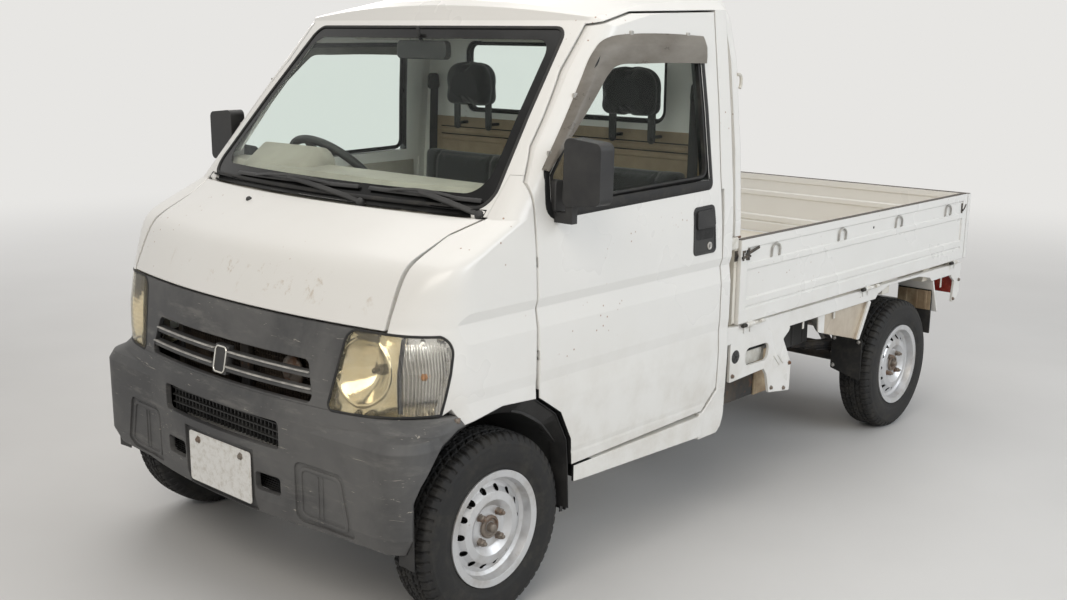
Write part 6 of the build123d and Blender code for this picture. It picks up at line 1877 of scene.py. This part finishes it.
def make_seats():
    """Padded cushions, backs and head restraints, with flat stalks and seat rails."""
    lean = Matrix.Rotation(math.radians(-4.6), 3, "X")
    cushion = stuffed("seat_cushion_left", [((0.152, -0.748, 0.648), (0.598, -0.345, 0.752), None)], 0.0065,
                      0.012, cushion_channels)
    back = stuffed("seat_back_left", [((0.152, -0.35, 0.772), (0.598, -0.276, 1.176), lean)], 0.0065, 0.01,
                   back_channels)
    head = stuffed("head_restraint_left", [((0.266, -0.33, 1.342), (0.484, -0.262, 1.498), "round top")], 0.005,
                   0.008, head_channels)
    for kind, data in (("seat_cushion", cushion), ("seat_back", back), ("head_restraint", head)):
        left = bpy.data.objects[f"{kind}_left"]
        right_data = data.copy()
        for vertex in right_data.vertices:
            vertex.co.x = -vertex.co.x
        right_data.flip_normals()
        right = linked(f"{kind}_right", right_data)
        for piece in (left, right):
            smoother = piece.modifiers.new("finer", "SUBSURF")
            smoother.levels = 1
            smoother.render_levels = 1
            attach(piece, "chassis")
    stalks = Form()
    for side in (-1, 1):
        for shift in (-0.082, 0.082):
            x = side * SEAT_MIDDLE + shift
            stalks.prism(rounded_outline([(x - 0.0145, 1.25), (x + 0.0145, 1.25), (x + 0.0145, 1.38),
                                          (x - 0.0145, 1.38)], (0.014, 0.014, 0.003, 0.003), 5), -0.292, -0.284,
                         along_y)
            stalks.bar([(x, -0.286, 1.272), (x, -0.234, 1.272)], 0.006, 12)
            stalks.turned([(0.0, 0.008), (0.004, 0.008), (0.0055, 0.005), (0.0055, 0.0)], (x, -0.292, 1.266),
                          (0, -1, 0), steps=16)
    frame_piece = stalks.finish("seat_stalks", "black_plastic", "chassis", edge=0.0015)
    rails = Form()
    for side in (-1, 1):
        for shift in (-0.17, 0.17):
            x = side * SEAT_MIDDLE + shift
            rails.box((x - 0.014, -0.74, 0.6405), (x + 0.014, -0.36, 0.652))
    rails.finish("seat_rails", "frame_black", "chassis", edge=0.001)
    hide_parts("seats")


def plain(name, dark, pale, rough, scale=20.0, **constants):
    """A finish with a slight change of tone and gloss over the surface."""
    s = Shader(name, **constants)
    cloud = s.noise(scale, 5, 0.6)
    s.set(Base_Color=s.mix(s.span(cloud, 0.35, 0.7), dark, pale),
          Roughness=s.span(cloud, 0.3, 0.7, rough * 0.85, min(1.0, rough * 1.2)),
          Normal=s.bump(s.noise(scale * 9, 4, 0.6), 0.0004, 0.25, s.rounded(0.001)))
    return s.material


def smoke_plastic():
    """Smoked clear plastic of the door visors, hazed by scratches."""
    s = Shader("smoke", IOR=1.3, Transmission_Weight=0.22)
    haze = s.noise(9, 5, 0.65, stretch=(1, 0.4, 1))
    s.set(Base_Color=s.mix(s.span(haze, 0.3, 0.75), (0.17, 0.15, 0.125), (0.3, 0.275, 0.24)),
          Roughness=s.span(haze, 0.3, 0.7, 0.22, 0.42), Normal=s.bump(s.noise(120, 3), 0.0003, 0.2))
    return s.material


def radiator_fins():
    """Brown-black fins with dust between them."""
    s = Shader("radiator", Metallic=0.3)
    cloud = s.noise(12, 5, 0.65)
    s.set(Base_Color=s.mix(s.span(cloud, 0.35, 0.7), (0.045, 0.038, 0.032), (0.16, 0.125, 0.09)),
          Roughness=s.span(cloud, 0.3, 0.7, 0.55, 0.8), Normal=s.bump(s.noise(500, 2), 0.0005, 0.4))
    return s.material


def webbing_cloth():
    """Woven belt webbing with its ribs along the belt."""
    s = Shader("webbing", Sheen_Weight=0.3, Sheen_Roughness=0.4)
    ribs = s.node("ShaderNodeTexWave", {"Vector": s.place, "Scale": 420.0, "Distortion": 0.2}, output=1,
                  bands_direction="Y")
    s.set(Base_Color=s.mix(ribs, (0.02, 0.02, 0.021), (0.055, 0.054, 0.052)),
          Roughness=s.span(s.noise(30, 3), 0.3, 0.7, 0.7, 0.85), Normal=s.bump(ribs, 0.0004, 0.5))
    return s.material


make_camera()
make_world()
soft_light("key", (2.6, -5.2, 4.6), (0, -0.6, 0.7), (4.5, 3.2), 164, (1.0, 0.94, 0.85))
soft_light("side", (6.0, 1.2, 3.4), (0, 0.2, 0.8), (5.0, 3.0), 165, (0.88, 0.94, 1.0))
soft_light("top", (-0.6, 0.4, 5.4), (0, 0, 0.9), (5.0, 5.0), 110, (1.0, 0.97, 0.93))
soft_light("back", (-5.0, 3.4, 3.2), (0, 0.2, 0.8), (4.0, 2.5), 85, (1.0, 0.97, 0.94))
bpy.context.scene.view_settings.view_transform = "Standard"

finishes = {"body_white": white_paint(),
            "bed_paint": bed_paint(),
            "frame_black": chassis_paint(),
            "bumper_grey": bumper_plastic(),
            "black_plastic": dark_plastic("black_plastic", (0.014, 0.014, 0.015), (0.045, 0.044, 0.042), 0.5),
            "dash_plastic": dark_plastic("dash_plastic", (0.34, 0.31, 0.26), (0.44, 0.41, 0.35), 0.6),
            "lamp_lens": lamp_lens(),
            "tail_lens": tail_lens(),
            "clear_glass": clear_glass(),
            "seat_cloth": seat_cloth(),
            "plate_white": plate_metal(),
            "black_rubber": rubber("black_rubber", 0.02),
            "tyre": rubber("tyre", 0.016),
            "wheel_silver": wheel_paint(),
            "engine_metal": cast_metal("engine_metal", (0.3, 0.29, 0.28), (0.1, 0.07, 0.05), 0.6),
            "exhaust_steel": cast_metal("exhaust_steel", (0.28, 0.25, 0.22), (0.19, 0.085, 0.035), 0.5),
            "rusty_steel": cast_metal("rusty_steel", (0.23, 0.2, 0.17), (0.17, 0.075, 0.035), 0.6),
            "bright_steel": cast_metal("bright_steel", (0.55, 0.54, 0.52), (0.38, 0.35, 0.31), 0.8),
            "chrome": plain("chrome", (0.62, 0.6, 0.55), (0.8, 0.78, 0.73), 0.14, 8.0, Metallic=0.95),
            "lamp_silver": plain("lamp_silver", (0.52, 0.47, 0.36), (0.66, 0.61, 0.5), 0.28, 10.0,
                                 Metallic=0.75),
            "bulb_tip": plain("bulb_tip", (0.05, 0.045, 0.04), (0.14, 0.12, 0.1), 0.3, 40.0, Metallic=0.4),
            "amber": plain("amber", (0.55, 0.22, 0.04), (0.68, 0.32, 0.08), 0.25, 30.0),
            "worn_grey": plain("worn_grey", (0.3, 0.29, 0.27), (0.52, 0.5, 0.46), 0.5, 30.0),
            "gloss_black": plain("gloss_black", (0.004, 0.004, 0.004), (0.009, 0.009, 0.009), 0.22, 12.0,
                                 Specular_IOR_Level=0.22),
            "satin_black": plain("satin_black", (0.008, 0.008, 0.008), (0.02, 0.02, 0.02), 0.42, 14.0,
                                 Specular_IOR_Level=0.3),
            "tan_panel": plain("tan_panel", (0.33, 0.245, 0.16), (0.4, 0.305, 0.205), 0.7, 22.0),
            "dusty_tan": plain("dusty_tan", (0.27, 0.19, 0.115), (0.48, 0.38, 0.25), 0.7, 13.0),
            "shadow": plain("shadow", (0.004, 0.004, 0.004), (0.01, 0.01, 0.01), 0.7, 60.0),
            "mirror_glass": plain("mirror_glass", (0.8, 0.83, 0.84), (0.86, 0.88, 0.88), 0.04, 5.0,
                                  Metallic=1.0),
            "smoke": smoke_plastic(),
            "radiator": radiator_fins(),
            "webbing": webbing_cloth(),
            "dial_white": plain("dial_white", (0.62, 0.62, 0.6), (0.74, 0.74, 0.72), 0.5, 60.0),
            "lining_cloth": plain("lining_cloth", (0.46, 0.44, 0.4), (0.56, 0.54, 0.49), 0.9, 160.0),
            "bed_white": plain("bed_white", (0.6, 0.57, 0.5), (0.76, 0.74, 0.69), 0.45, 26.0),
            "gate_strip": plain("gate_strip", (0.03, 0.024, 0.02), (0.085, 0.068, 0.052), 0.6, 34.0),
            "latch_black": plain("latch_black", (0.03, 0.028, 0.026), (0.11, 0.09, 0.07), 0.5, 50.0,
                                 Metallic=0.4)}
for item in frame["record"]["subparts"]:
    mesh = nodes[item["node"]].data
    mesh.materials.clear()
    mesh.materials.append(finishes[item["material_slot"]])

make_tyres()
make_wheel_details()
make_headlamps()
make_grille_parts()
make_bumper_parts()
make_windscreen_parts()
make_door_parts()
make_gate_parts()
make_tailgate_parts()
make_deck_parts()
make_side_parts()
make_guard_parts()
make_underbody()
make_liner_parts()
make_dash()
make_cabin()
make_seats()

floor_mesh = bpy.data.meshes.new("floor")
floor_mesh.from_pydata([(-30, -30, 0), (30, -30, 0), (30, 60, 0), (-30, 60, 0)], [], [(0, 1, 2, 3)])
floor_mesh.materials.append(floor_finish())
floor = linked("floor", floor_mesh)
